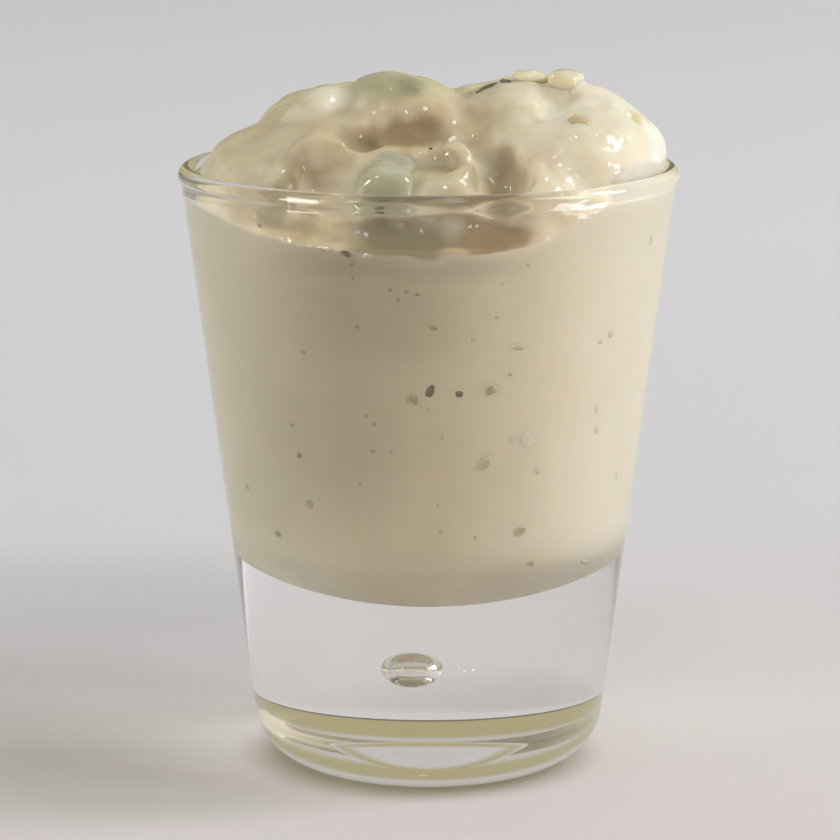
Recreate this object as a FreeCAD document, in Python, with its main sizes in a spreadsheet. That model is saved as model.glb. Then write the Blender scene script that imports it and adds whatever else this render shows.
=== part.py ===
import FreeCAD, Part
import math
import os
import Sketcher

# Small heavy-based clear glass (a verrine) filled with tartar-style sauce.
# The sauce is heaped in soft folds above the rim, with two diced pickled
# gherkin chunks in the heap.  One air bubble is sealed in the thick base.
# Origin: centre of the foot ring, on the surface the glass stands on.
# +Z up, millimetres.  -Y is the front, where the sauce dips below the rim.

V = FreeCAD.Vector
doc = FreeCAD.newDocument("verrine_of_tartar_sauce")

# ---------------------------------------------------------------- dimensions
sheet = doc.addObject("Spreadsheet::Sheet", "Dims")
DIMS = [
    # glass, outside
    ("glass_height", 73.3, "foot to the top of the rim"),
    ("rim_radius", 30.0, "outer wall line at rim height"),
    ("foot_radius", 20.53, "outer wall line carried down to the foot plane"),
    ("base_fillet", 7.0, "rounding between wall and foot"),
    ("punt_radius", 12.3, "edge of the hollow under the foot"),
    ("punt_depth", 3.9, "depth of the hollow under the foot"),
    ("punt_dome", 48.0, "radius of the hollow's shallow dome"),
    ("punt_top", 10.2, "edge of the dome, where its shoulder begins"),
    ("punt_shoulder", 1.6, "rounding between the dome and its steep side"),
    # rim bead
    ("bead_radius", 1.13, "fire-polished rim bead"),
    ("bead_centre", 28.98, "bead centre from the axis"),
    # glass, inside
    ("inner_rim_radius", 28.31, "inner wall line at rim height"),
    ("inner_foot_radius", 17.94, "inner wall line carried down to the foot plane"),
    ("floor_height", 21.9, "cavity floor at the axis"),
    ("floor_radius", 35.8, "spherical cavity floor"),
    ("corner_radius", 8.0, "rounding between cavity floor and wall"),
    # air bubble in the base
    ("bubble_wide", 2.5, "horizontal half size"),
    ("bubble_tall", 2.25, "vertical half size"),
    ("bubble_shift", -1.35, "offset from the axis along X"),
    ("bubble_height", 13.5, "centre above the foot"),
    # sauce, in the glass and above it
    ("collar_angle", 68.0, "how far the sauce wraps over the bead, degrees"),
    ("collar_rise", 2.4, "height of the sauce's upright side above the bead"),
    ("heap_rise", 9.5, "height of the mound's middle above the rim"),
    ("edge_front", -7.2, "sauce edge against the glass, front, from the rim"),
    ("edge_left", -3.0, "sauce edge, left"),
    ("edge_right", 0.6, "sauce edge, right"),
    ("edge_back", -1.0, "sauce edge, back"),
    # gherkin chunk at the front
    ("front_chunk_wide", 7.8, "width"),
    ("front_chunk_tall", 10.0, "height"),
    ("front_chunk_deep", 7.6, "thickness"),
    ("front_chunk_round", 1.9, "rounding of its cut edges"),
    # gherkin chunk at the top
    ("top_chunk_wide", 7.0, "width"),
    ("top_chunk_tall", 5.4, "height"),
    ("top_chunk_deep", 5.2, "thickness"),
    ("top_chunk_round", 1.3, "rounding of its cut edges"),
]
for row, (alias, value, note) in enumerate(DIMS, start=1):
    sheet.set("A%d" % row, alias)
    sheet.set("B%d" % row, repr(value))
    sheet.set("C%d" % row, note)
    sheet.setAlias("B%d" % row, alias)
doc.recompute()


def dim(alias):
    return float(sheet.get(alias))


# ------------------------------------------------------- helpers for sketches
def plane(body, role):
    for feature in body.Origin.OriginFeatures:
        if feature.Role == role:
            return feature
    raise RuntimeError("no plane " + role)


def new_sketch(body, name, role="XZ_Plane"):
    sk = body.newObject("Sketcher::SketchObject", name)
    sk.AttachmentSupport = [(plane(body, role), "")]
    sk.MapMode = "FlatFace"
    return sk


def drive(sk, name, kind, args, expression):
    """Adds a dimension to a sketch and binds it to an expression."""
    value = DRIVEN[expression]
    index = sk.addConstraint(Sketcher.Constraint(kind, *args, value))
    sk.renameConstraint(index, name)
    sk.setExpression("Constraints." + name, expression)
    return index


def arc_by_points(centre, start, end, ccw=True):
    """Circular arc from start to end about centre, as a sketch arc."""
    radius = math.hypot(start[0] - centre[0], start[1] - centre[1])
    a0 = math.atan2(start[1] - centre[1], start[0] - centre[0])
    a1 = math.atan2(end[1] - centre[1], end[0] - centre[0])
    if not ccw:
        a0, a1 = a1, a0
    if a1 < a0:
        a1 += 2 * math.pi
    circle = Part.Circle(V(centre[0], centre[1], 0), V(0, 0, 1), radius)
    return Part.ArcOfCircle(circle, a0, a1)


def segment(a, b):
    return Part.LineSegment(V(a[0], a[1], 0), V(b[0], b[1], 0))


# ----------------------------------------------- profile points from the sheet
height = dim("glass_height")
r_rim, r_foot = dim("rim_radius"), dim("foot_radius")
q_rim, q_foot = dim("inner_rim_radius"), dim("inner_foot_radius")
taper_out = (r_rim - r_foot) / height
taper_in = (q_rim - q_foot) / height
bead_r, bead_x = dim("bead_radius"), dim("bead_centre")
bead_z = height - bead_r


def bead_meets(line_foot, taper, side):
    """Where a wall line meets the bead circle: side +1 outside, -1 inside."""
    # |(line_foot + taper z - bead_x, z - bead_z)| = bead_r, lower root
    a = 1 + taper * taper
    k = line_foot - bead_x
    b = 2 * (k * taper - bead_z)
    c = k * k + bead_z * bead_z - bead_r * bead_r
    z = (-b - math.sqrt(b * b - 4 * a * c)) / (2 * a)
    return (line_foot + taper * z, z)


outer_top = bead_meets(r_foot, taper_out, 1)
inner_top = bead_meets(q_foot, taper_in, -1)

# foot fillet, tangent to the foot plane and to the outer wall
fillet = dim("base_fillet")
slope_out = math.atan(taper_out)
foot_cx = r_foot + taper_out * fillet - fillet / math.cos(slope_out)
foot_edge = (foot_cx, 0.0)
foot_wall = (foot_cx + fillet * math.cos(slope_out), fillet - fillet * math.sin(slope_out))

# cavity floor and corner, tangent to each other and to the inner wall
floor_z, floor_r, corner_r = dim("floor_height"), dim("floor_radius"), dim("corner_radius")
slope_in = math.atan(taper_in)
k_floor = floor_z + floor_r
c_wall = q_foot - corner_r / math.cos(slope_in)
qa = 1 + taper_in ** 2
qb = 2 * (c_wall * taper_in - k_floor)
qc = c_wall ** 2 + k_floor ** 2 - (floor_r - corner_r) ** 2
corner_z = (-qb - math.sqrt(qb * qb - 4 * qa * qc)) / (2 * qa)
corner_c = (c_wall + taper_in * corner_z, corner_z)
corner_wall = (corner_c[0] + corner_r * math.cos(slope_in), corner_c[1] - corner_r * math.sin(slope_in))
reach = (floor_r) / (floor_r - corner_r)
corner_floor = (corner_c[0] * reach, k_floor + (corner_c[1] - k_floor) * reach)

punt_r, punt_d = dim("punt_radius"), dim("punt_depth")
punt_ball, punt_top, punt_s = dim("punt_dome"), dim("punt_top"), dim("punt_shoulder")
punt_k = punt_d - punt_ball
punt_turn = math.asin(punt_top / punt_ball)
punt_edge = (punt_top, punt_k + punt_ball * math.cos(punt_turn))
punt_sc = (punt_edge[0] - punt_s * math.sin(punt_turn), punt_edge[1] - punt_s * math.cos(punt_turn))
_dx, _dz = punt_r - punt_sc[0], -punt_sc[1]
_face = math.atan2(_dz, _dx) + math.acos(punt_s / math.hypot(_dx, _dz))
punt_side = (punt_sc[0] + punt_s * math.cos(_face), punt_sc[1] + punt_s * math.sin(_face))

# values of the expressions that drive the sketches, to place them before solving
DRIVEN = {}
for alias, value, note in DIMS:
    DRIVEN["Dims." + alias] = value


def draw_cavity(sk, first):
    """Cavity floor, corner and wall, from the axis up to the rim bead.

    Adds floor arc, corner arc and wall line; returns their indices.  The wall
    lies on a construction line whose two ends carry the cavity's radii."""
    base = sk.addGeometry(segment((q_foot, 0), (q_rim, height)), True)
    drive(sk, "inner_foot", "DistanceX", (-1, 1, base, 1), "Dims.inner_foot_radius")
    sk.addConstraint(Sketcher.Constraint("PointOnObject", base, 1, -1))
    drive(sk, "inner_rim", "DistanceX", (-1, 1, base, 2), "Dims.inner_rim_radius")
    drive(sk, "inner_height", "DistanceY", (-1, 1, base, 2), "Dims.glass_height")
    floor = sk.addGeometry(arc_by_points((0, k_floor), (0, floor_z), corner_floor), False)
    corner = sk.addGeometry(arc_by_points(corner_c, corner_floor, corner_wall), False)
    wall = sk.addGeometry(segment(corner_wall, inner_top), False)
    sk.addConstraint(Sketcher.Constraint("PointOnObject", floor, 3, -2))
    sk.addConstraint(Sketcher.Constraint("PointOnObject", floor, 1, -2))
    drive(sk, "floor_height", "DistanceY", (-1, 1, floor, 1), "Dims.floor_height")
    drive(sk, "floor_radius", "Radius", (floor,), "Dims.floor_radius")
    sk.addConstraint(Sketcher.Constraint("Tangent", floor, 2, corner, 1))
    drive(sk, "corner_radius", "Radius", (corner,), "Dims.corner_radius")
    sk.addConstraint(Sketcher.Constraint("Tangent", corner, 2, wall, 1))
    sk.addConstraint(Sketcher.Constraint("PointOnObject", wall, 1, base))
    sk.addConstraint(Sketcher.Constraint("PointOnObject", wall, 2, base))
    return floor, corner, wall


def place_bead(sk, arc):
    """Ties a bead arc's centre and radius to the sheet."""
    drive(sk, "bead_radius", "Radius", (arc,), "Dims.bead_radius")
    drive(sk, "bead_centre", "DistanceX", (-1, 1, arc, 3), "Dims.bead_centre")
    DRIVEN["Dims.glass_height - Dims.bead_radius"] = bead_z
    drive(sk, "bead_height", "DistanceY", (-1, 1, arc, 3), "Dims.glass_height - Dims.bead_radius")


def revolve(body, sk, name):
    rev = body.newObject("PartDesign::Revolution", name)
    rev.Profile = sk
    rev.ReferenceAxis = (sk, ["V_Axis"])
    rev.Angle = 360.0
    body.Tip = rev
    sk.Visibility = False
    return rev


# --------------------------------------------------------------- glass tumbler
glass_body = doc.addObject("PartDesign::Body", "GlassBody")
gs = new_sketch(glass_body, "GlassProfile")
floor, corner, inner_wall = draw_cavity(gs, 0)
bead = gs.addGeometry(arc_by_points((bead_x, bead_z), outer_top, inner_top), False)
place_bead(gs, bead)
gs.addConstraint(Sketcher.Constraint("Coincident", bead, 2, inner_wall, 2))
outer_base = gs.addGeometry(segment((r_foot, 0), (r_rim, height)), True)
drive(gs, "outer_foot", "DistanceX", (-1, 1, outer_base, 1), "Dims.foot_radius")
gs.addConstraint(Sketcher.Constraint("PointOnObject", outer_base, 1, -1))
drive(gs, "outer_rim", "DistanceX", (-1, 1, outer_base, 2), "Dims.rim_radius")
drive(gs, "outer_height", "DistanceY", (-1, 1, outer_base, 2), "Dims.glass_height")
outer_wall = gs.addGeometry(segment(foot_wall, outer_top), False)
gs.addConstraint(Sketcher.Constraint("PointOnObject", outer_wall, 1, outer_base))
gs.addConstraint(Sketcher.Constraint("PointOnObject", outer_wall, 2, outer_base))
gs.addConstraint(Sketcher.Constraint("Coincident", outer_wall, 2, bead, 1))
foot_arc = gs.addGeometry(arc_by_points((foot_cx, fillet), foot_edge, foot_wall), False)
drive(gs, "base_fillet", "Radius", (foot_arc,), "Dims.base_fillet")
gs.addConstraint(Sketcher.Constraint("Tangent", foot_arc, 2, outer_wall, 1))
foot_ring = gs.addGeometry(segment((punt_r, 0), foot_edge), False)
gs.addConstraint(Sketcher.Constraint("Horizontal", foot_ring))
gs.addConstraint(Sketcher.Constraint("PointOnObject", foot_ring, 1, -1))
drive(gs, "punt_radius", "DistanceX", (-1, 1, foot_ring, 1), "Dims.punt_radius")
gs.addConstraint(Sketcher.Constraint("Tangent", foot_ring, 2, foot_arc, 1))
punt = gs.addGeometry(arc_by_points((0, punt_k), punt_edge, (0, punt_d)), False)
gs.addConstraint(Sketcher.Constraint("PointOnObject", punt, 3, -2))
gs.addConstraint(Sketcher.Constraint("PointOnObject", punt, 2, -2))
drive(gs, "punt_depth", "DistanceY", (-1, 1, punt, 2), "Dims.punt_depth")
drive(gs, "punt_dome", "Radius", (punt,), "Dims.punt_dome")
drive(gs, "punt_top", "DistanceX", (-1, 1, punt, 1), "Dims.punt_top")
shoulder = gs.addGeometry(arc_by_points(punt_sc, punt_side, punt_edge), False)
gs.addConstraint(Sketcher.Constraint("Tangent", shoulder, 2, punt, 1))
drive(gs, "punt_shoulder", "Radius", (shoulder,), "Dims.punt_shoulder")
steep = gs.addGeometry(segment((punt_r, 0), punt_side), False)
gs.addConstraint(Sketcher.Constraint("Tangent", steep, 2, shoulder, 1))
gs.addConstraint(Sketcher.Constraint("Coincident", steep, 1, foot_ring, 1))
axis_side = gs.addGeometry(segment((0, punt_d), (0, floor_z)), False)
gs.addConstraint(Sketcher.Constraint("Coincident", axis_side, 1, punt, 2))
gs.addConstraint(Sketcher.Constraint("Coincident", axis_side, 2, floor, 1))
doc.recompute()
if gs.solve() != 0:
    raise RuntimeError("glass profile doesn't solve")
revolve(glass_body, gs, "GlassRevolution")

# air bubble sealed in the base: a flattened ball taken out of the glass
bubble = doc.addObject("Part::Ellipsoid", "AirBubble")
bubble.setExpression("Radius1", "Dims.bubble_tall")
bubble.setExpression("Radius2", "Dims.bubble_wide")
bubble.setExpression("Radius3", "Dims.bubble_wide")
bubble.Angle1, bubble.Angle2, bubble.Angle3 = -90, 90, 360
bubble.setExpression("Placement.Base.x", "Dims.bubble_shift")
bubble.setExpression("Placement.Base.z", "Dims.bubble_height")
glass = doc.addObject("Part::Cut", "Glass")
glass.Base = glass_body
glass.Tool = bubble
glass.Label = "glass"
glass.Placement = FreeCAD.Placement()

# ------------------------------------------------------------ sauce's envelope
# The solid of revolution that the sauce may fill: the cavity itself, the upper
# inner quarter of the bead, and an upright collar with a domed space above it.
fill_body = doc.addObject("PartDesign::Body", "FillBody")
fs = new_sketch(fill_body, "FillProfile")
collar = math.radians(dim("collar_angle"))
collar_at = (bead_x - bead_r * math.cos(collar), bead_z + bead_r * math.sin(collar))
collar_top = (collar_at[0], height + dim("collar_rise"))
dome_r = collar_top[0]
floor, corner, inner_wall = draw_cavity(fs, 0)
wrap = fs.addGeometry(arc_by_points((bead_x, bead_z), collar_at, inner_top), False)
place_bead(fs, wrap)
fs.addConstraint(Sketcher.Constraint("Coincident", wrap, 2, inner_wall, 2))
side = fs.addGeometry(segment(collar_at, collar_top), False)
fs.addConstraint(Sketcher.Constraint("Vertical", side))
fs.addConstraint(Sketcher.Constraint("Coincident", side, 1, wrap, 1))
DRIVEN["Dims.bead_centre - Dims.bead_radius * cos(Dims.collar_angle)"] = collar_at[0]
drive(fs, "collar_radius", "DistanceX", (-1, 1, side, 1),
      "Dims.bead_centre - Dims.bead_radius * cos(Dims.collar_angle)")
DRIVEN["Dims.glass_height + Dims.collar_rise"] = collar_top[1]
drive(fs, "collar_top", "DistanceY", (-1, 1, side, 2), "Dims.glass_height + Dims.collar_rise")
dome = fs.addGeometry(arc_by_points((0, collar_top[1]), collar_top, (0, collar_top[1] + dome_r)), False)
fs.addConstraint(Sketcher.Constraint("PointOnObject", dome, 3, -2))
fs.addConstraint(Sketcher.Constraint("PointOnObject", dome, 2, -2))
fs.addConstraint(Sketcher.Constraint("Tangent", dome, 1, side, 2))
fill_axis = fs.addGeometry(segment((0, collar_top[1] + dome_r), (0, floor_z)), False)
fs.addConstraint(Sketcher.Constraint("Coincident", fill_axis, 1, dome, 2))
fs.addConstraint(Sketcher.Constraint("Coincident", fill_axis, 2, floor, 1))
doc.recompute()
if fs.solve() != 0:
    raise RuntimeError("fill profile doesn't solve")
revolve(fill_body, fs, "FillRevolution")

# ------------------------------------------------------------ the heap's surface
# Height above the rim plane of the sauce's free surface.  It starts from the
# edge line against the glass, which dips at the front, rises to the mound's
# middle, and carries soft lobes and the folds between them.
#   lobe: name, x, y, half width, half depth, turn in degrees, height
LOBES = [
    ("crown_left", -4.0, -2.5, 6.2, 5.6, 8, 1.6),
    ("crown_right", 15.0, -2.0, 6.4, 6.5, -6, 1.3),
    ("shoulder_left", -15.0, -3.0, 5.2, 6.5, 20, 0.9),
    ("tongue", 2.6, -14.2, 5.4, 2.9, -14, 3.0),
    ("front_left", -12.6, -15.0, 5.6, 4.6, 24, 2.3),
    ("front_right", 16.5, -13.0, 7.6, 6.6, 18, 3.3),
    ("side_right", 25.2, -4.5, 3.4, 6.0, 4, 1.0),
    ("front_slope", 14.0, -21.0, 6.0, 3.2, 20, 1.2),
    ("back_left", -11.0, 13.0, 8.0, 6.0, -20, 1.0),
    ("back_right", 12.0, 14.5, 8.5, 6.0, 24, 1.3),
]
#   fold: name, x, y, half length, half width, turn in degrees, depth
FOLDS = [
    ("crown_hollow", -3.4, -10.4, 6.0, 2.0, 6, 2.3),
    ("crown_crease", 4.4, -4.5, 6.6, 1.5, 82, 1.7),
    ("tongue_pocket", 1.4, -16.6, 2.4, 1.2, -8, 1.2),
    ("dark_recess", 8.2, -17.0, 2.7, 3.4, 12, 3.2),
    ("left_valley", -9.2, -8.4, 5.6, 1.6, -52, 1.2),
    ("right_valley", 15.5, -6.2, 5.6, 1.4, 14, 1.2),
    ("front_recess", 6.5, -22.0, 6.5, 2.6, 4, 1.2),
    ("back_furrow", 3.0, 10.0, 2.4, 9.0, 6, 2.0),
]


def bump(x, y, cx, cy, a, b, turn):
    t = math.radians(turn)
    u = (x - cx) * math.cos(t) + (y - cy) * math.sin(t)
    w = -(x - cx) * math.sin(t) + (y - cy) * math.cos(t)
    d = (u / a) ** 2 + (w / b) ** 2
    return math.exp(-0.9 * d)


def blend_round(x, y, front, left, right, back):
    """A value that turns smoothly from one side's number to the next."""
    if math.hypot(x, y) < 1e-6:
        return (front + left + right + back) / 4.0
    c, s = x / math.hypot(x, y), y / math.hypot(x, y)
    wf, wb = max(0.0, -s) ** 2, max(0.0, s) ** 2
    wl, wr = max(0.0, -c) ** 2, max(0.0, c) ** 2
    return (wf * front + wb * back + wl * left + wr * right) / (wf + wb + wl + wr)


def heap_height(x, y):
    r = math.hypot(x, y)
    edge = blend_round(x, y, dim_edge["front"], dim_edge["left"], dim_edge["right"], dim_edge["back"])
    reach_r = blend_round(x, y, 27.2, 28.0, 29.8, 29.0)
    power = blend_round(x, y, 2.35, 3.2, 3.0, 3.0)
    droop = blend_round(x, y, 1.12, 0.74, 0.70, 0.80)
    rho = min(r / reach_r, 1.0)
    z = edge + (dim_edge["top"] - edge) * (1.0 - rho ** power) ** droop
    fade = 1.0 - max(0.0, (r - 24.5) / 5.0) ** 2
    fade = max(0.0, min(1.0, fade))
    for name, cx, cy, a, b, turn, rise in LOBES:
        z += rise * bump(x, y, cx, cy, a, b, turn) * (0.35 + 0.65 * fade)
    for name, cx, cy, a, b, turn, depth in FOLDS:
        z -= depth * bump(x, y, cx, cy, a, b, turn) * fade
    return z


dim_edge = {
    "top": dim("heap_rise"), "front": dim("edge_front"), "left": dim("edge_left"),
    "right": dim("edge_right"), "back": dim("edge_back"),
}

STEPS = 44
HALF = 30.5
grid = []
for i in range(STEPS + 1):
    x = -HALF + 2 * HALF * i / STEPS
    grid.append([
        V(x, -HALF + 2 * HALF * j / STEPS,
          height + heap_height(x, -HALF + 2 * HALF * j / STEPS))
        for j in range(STEPS + 1)])
surface = Part.BSplineSurface()
surface.interpolate(grid)
heap = doc.addObject("Part::Feature", "HeapBelowSurface")
heap.Shape = surface.toShape().extrude(V(0, 0, -(height + 12.0)))
heap.Placement = FreeCAD.Placement()

sauce_whole = doc.addObject("Part::Common", "SauceWhole")
sauce_whole.Base = fill_body
sauce_whole.Tool = heap


# ----------------------------------------------------------- gherkin chunks
def chunk(name, label, outline, prefix, placement):
    """A diced piece of gherkin: an uneven block cut from a slice, its edges
    rounded.  outline is in units of the chunk's half width and half height."""
    body = doc.addObject("PartDesign::Body", name)
    sk = new_sketch(body, name + "Outline")
    wide, tall = dim(prefix + "_wide") / 2, dim(prefix + "_tall") / 2
    count = len(outline)
    pts = [(wide * u, tall * w) for u, w in outline]
    for n in range(count):
        sk.addGeometry(segment(pts[n], pts[(n + 1) % count]), False)
    for n in range(count):
        sk.addConstraint(Sketcher.Constraint("Coincident", n, 2, (n + 1) % count, 1))
    for n, (u, w) in enumerate(outline):
        for axis, kind, unit, alias in (("x", "DistanceX", u, "_wide"), ("y", "DistanceY", w, "_tall")):
            size = dim(prefix + alias)
            expression = "Dims.%s%s * %.4f" % (prefix, alias, unit / 2)
            DRIVEN[expression] = size * round(unit / 2, 4)
            if abs(unit) < 1e-9:
                sk.addConstraint(Sketcher.Constraint("PointOnObject", n, 1, -2 if axis == "x" else -1))
            else:
                drive(sk, "p%d%s" % (n, axis), kind, (-1, 1, n, 1), expression)
    doc.recompute()
    pad = body.newObject("PartDesign::Pad", name + "Pad")
    pad.Profile = sk
    pad.setExpression("Length", "Dims." + prefix + "_deep")
    pad.Midplane = True
    sk.Visibility = False
    body.Tip = pad
    doc.recompute()
    fil = body.newObject("PartDesign::Fillet", name + "Rounding")
    fil.Base = (pad, ["Edge%d" % (k + 1) for k in range(len(pad.Shape.Edges))])
    fil.setExpression("Radius", "Dims." + prefix + "_round")
    body.Tip = fil
    doc.recompute()
    body.Placement = placement
    body.Label = label
    return body


front_chunk = chunk(
    "FrontChunk", "gherkin_front",
    [(-0.92, -0.72), (-0.30, -1.0), (0.74, -0.88), (1.0, 0.10), (0.62, 0.94), (-0.44, 1.0), (-1.0, 0.36)],
    "front_chunk",
    FreeCAD.Placement(V(-4.8, -18.9, height - 2.0), FreeCAD.Rotation(-8, 9, 14)))
top_chunk = chunk(
    "TopChunk", "gherkin_top",
    [(-1.0, -0.62), (0.10, -1.0), (0.94, -0.66), (1.0, 0.42), (0.22, 1.0), (-0.82, 0.74)],
    "top_chunk",
    FreeCAD.Placement(V(-5.2, -4.6, height + 8.6), FreeCAD.Rotation(12, -6, 8)))

# ------------------------------------------------- sauce, cut round the chunks
both = doc.addObject("Part::MultiFuse", "BothChunks")
both.Shapes = [front_chunk, top_chunk]
sauce = doc.addObject("Part::Cut", "Sauce")
sauce.Base = sauce_whole
sauce.Tool = both
sauce.Label = "sauce"
sauce.Placement = FreeCAD.Placement()
doc.recompute()

# ------------------------------------------------------------ checks and export
for obj in doc.Objects:
    if "Invalid" in obj.State or "Error" in obj.State:
        raise RuntimeError("%s is %s" % (obj.Name, obj.State))

NODES = [glass, sauce, front_chunk, top_chunk]
for obj in NODES:
    shape = obj.Shape
    if shape.isNull() or not shape.isValid():
        raise RuntimeError(obj.Label + " has no valid shape")
    if len(shape.Solids) != 1:
        raise RuntimeError("%s has %d solids" % (obj.Label, len(shape.Solids)))

os.makedirs("parts", exist_ok=True)
for obj in NODES:
    obj.Shape.exportStep("parts/%s.step" % obj.Label)
    box = obj.Shape.BoundBox
    print("%-14s volume %9.1f mm3  x %.2f..%.2f  y %.2f..%.2f  z %.2f..%.2f" % (
        obj.Label, obj.Shape.Volume, box.XMin, box.XMax, box.YMin, box.YMax, box.ZMin, box.ZMax))
clash = glass.Shape.common(sauce.Shape).Volume
print("glass and sauce share %.4f mm3" % clash)
print("bubble taken out: %.2f mm3" % (glass_body.Shape.Volume - glass.Shape.Volume))
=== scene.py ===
import bpy
import math
import numpy as np
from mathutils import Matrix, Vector


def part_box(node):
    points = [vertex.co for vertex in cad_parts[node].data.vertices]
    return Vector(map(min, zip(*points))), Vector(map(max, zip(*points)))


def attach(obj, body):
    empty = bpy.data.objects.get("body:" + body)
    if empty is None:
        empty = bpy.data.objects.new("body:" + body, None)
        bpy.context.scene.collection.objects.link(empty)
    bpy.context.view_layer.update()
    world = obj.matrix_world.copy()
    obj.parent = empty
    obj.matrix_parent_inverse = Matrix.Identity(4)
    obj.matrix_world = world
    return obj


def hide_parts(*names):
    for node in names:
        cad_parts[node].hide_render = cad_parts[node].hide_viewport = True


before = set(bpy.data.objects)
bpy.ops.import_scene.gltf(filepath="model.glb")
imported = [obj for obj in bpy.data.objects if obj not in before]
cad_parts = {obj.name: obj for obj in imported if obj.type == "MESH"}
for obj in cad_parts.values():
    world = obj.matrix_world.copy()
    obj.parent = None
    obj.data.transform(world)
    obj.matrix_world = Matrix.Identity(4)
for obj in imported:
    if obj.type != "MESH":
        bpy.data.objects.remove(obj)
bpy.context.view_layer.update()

# A small heavy-based glass of tartar sauce.  Lengths in this file are in
# millimetres in the row frame and become metres when a mesh is made.
MM = 0.001
SCENE = bpy.context.scene
SCENE.view_settings.view_transform = "Standard"

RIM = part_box("glass")[1].z / MM          # rim height
R_RIM, R_FOOT = 30.0, 20.53              # outer wall line at the rim and at the foot
Q_RIM, Q_FOOT = 28.31, 17.94             # inner wall line
FOOT_ROUND = 7.0
# hollow under the foot: edge, depth, radius of its dome, dome's edge, shoulder
PUNT_R, PUNT_D, PUNT_DOME, PUNT_TOP, PUNT_SHOULDER = 12.3, 3.9, 48.0, 10.2, 1.6
BEAD_R, BEAD_X = 1.13, 28.98
FLOOR_Z, FLOOR_R, CORNER_R = 21.9, 35.8, 8.0
BUBBLE = (-1.35, 0.0, 13.5)
BUBBLE_WIDE, BUBBLE_TALL = 2.5, 2.25
TAPER_OUT, TAPER_IN = (R_RIM - R_FOOT) / RIM, (Q_RIM - Q_FOOT) / RIM
INTO_WALL = 0.12                         # how far the sauce reaches into the glass


# ------------------------------------------------------------------ mesh tools
def new_mesh(name, verts, faces, smooth=True):
    me = bpy.data.meshes.new(name)
    verts = np.asarray(verts, np.float64) * MM
    me.from_pydata(verts.tolist(), [], [list(map(int, q)) for q in faces])
    me.update()
    if smooth:
        me.polygons.foreach_set("use_smooth", [True] * len(me.polygons))
    ob = bpy.data.objects.new(name, me)
    SCENE.collection.objects.link(ob)
    return ob


def lathe(profile, segments):
    """Closed mesh of revolution from a profile whose first and last points
    are on the axis.  Normals face out of the side the profile leaves on its
    right, going from first to last point."""
    profile = np.asarray(profile, float)
    ring = profile[1:-1]
    ang = np.arange(segments) * 2 * math.pi / segments
    ca, sa = np.cos(ang), np.sin(ang)
    verts = [np.array([[0.0, 0.0, profile[0, 1]]])]
    for r, z in ring:
        verts.append(np.stack([r * ca, r * sa, np.full(segments, z)], 1))
    verts.append(np.array([[0.0, 0.0, profile[-1, 1]]]))
    verts = np.concatenate(verts)
    faces = []
    n = len(ring)
    for s in range(segments):
        faces.append((0, 1 + (s + 1) % segments, 1 + s))
    for k in range(n - 1):
        a, b = 1 + k * segments, 1 + (k + 1) * segments
        for s in range(segments):
            t = (s + 1) % segments
            faces.append((a + s, a + t, b + t, b + s))
    last = 1 + n * segments
    a = 1 + (n - 1) * segments
    for s in range(segments):
        faces.append((a + s, a + (s + 1) % segments, last))
    return verts, faces


def arc(centre, radius, a0, a1, steps):
    """Points on a circle from angle a0 to a1, degrees, ends included."""
    t = np.radians(np.linspace(a0, a1, steps + 1))
    return np.stack([centre[0] + radius * np.cos(t), centre[1] + radius * np.sin(t)], 1)


def line(a, b, steps):
    t = np.linspace(0, 1, steps + 1)[:, None]
    return np.asarray(a) * (1 - t) + np.asarray(b) * t


# ------------------------------------------------------- cavity of the glass
K_FLOOR = FLOOR_Z + FLOOR_R
SLOPE_IN = math.atan(TAPER_IN)
_c = Q_FOOT - CORNER_R / math.cos(SLOPE_IN)
_a, _b = 1 + TAPER_IN ** 2, 2 * (_c * TAPER_IN - K_FLOOR)
_d = _c ** 2 + K_FLOOR ** 2 - (FLOOR_R - CORNER_R) ** 2
CORNER_Z = (-_b - math.sqrt(_b * _b - 4 * _a * _d)) / (2 * _a)
CORNER = (_c + TAPER_IN * CORNER_Z, CORNER_Z)
FLOOR_ANGLE = math.degrees(math.atan2(CORNER[1] - K_FLOOR, CORNER[0]))   # below zero


def cavity_distance(r, z):
    """Signed distance from the cavity's wall in a half section, below zero
    inside.  z is measured from the rim plane."""
    z = z + RIM
    wall = (r - (Q_FOOT + TAPER_IN * z)) * math.cos(SLOPE_IN)
    ball = np.hypot(r, z - K_FLOOR) - FLOOR_R
    angle = np.degrees(np.arctan2(z - CORNER[1], r - CORNER[0]))
    corner = np.hypot(r - CORNER[0], z - CORNER[1]) - CORNER_R
    in_corner = (angle < -math.degrees(SLOPE_IN)) & (angle > FLOOR_ANGLE)
    d = np.maximum(wall, np.where(z < K_FLOOR, ball, -99.0))
    d = np.where(in_corner, corner, d)
    bead = BEAD_R - np.hypot(r - BEAD_X, z - RIM + BEAD_R)
    bead = np.where(r > BEAD_X, np.where(z < RIM, BEAD_R, bead), bead)
    return np.maximum(np.where(z < RIM - 0.9 * BEAD_R, d, -99.0), np.where(z > RIM - 3 * BEAD_R, bead, -99.0))


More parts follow.
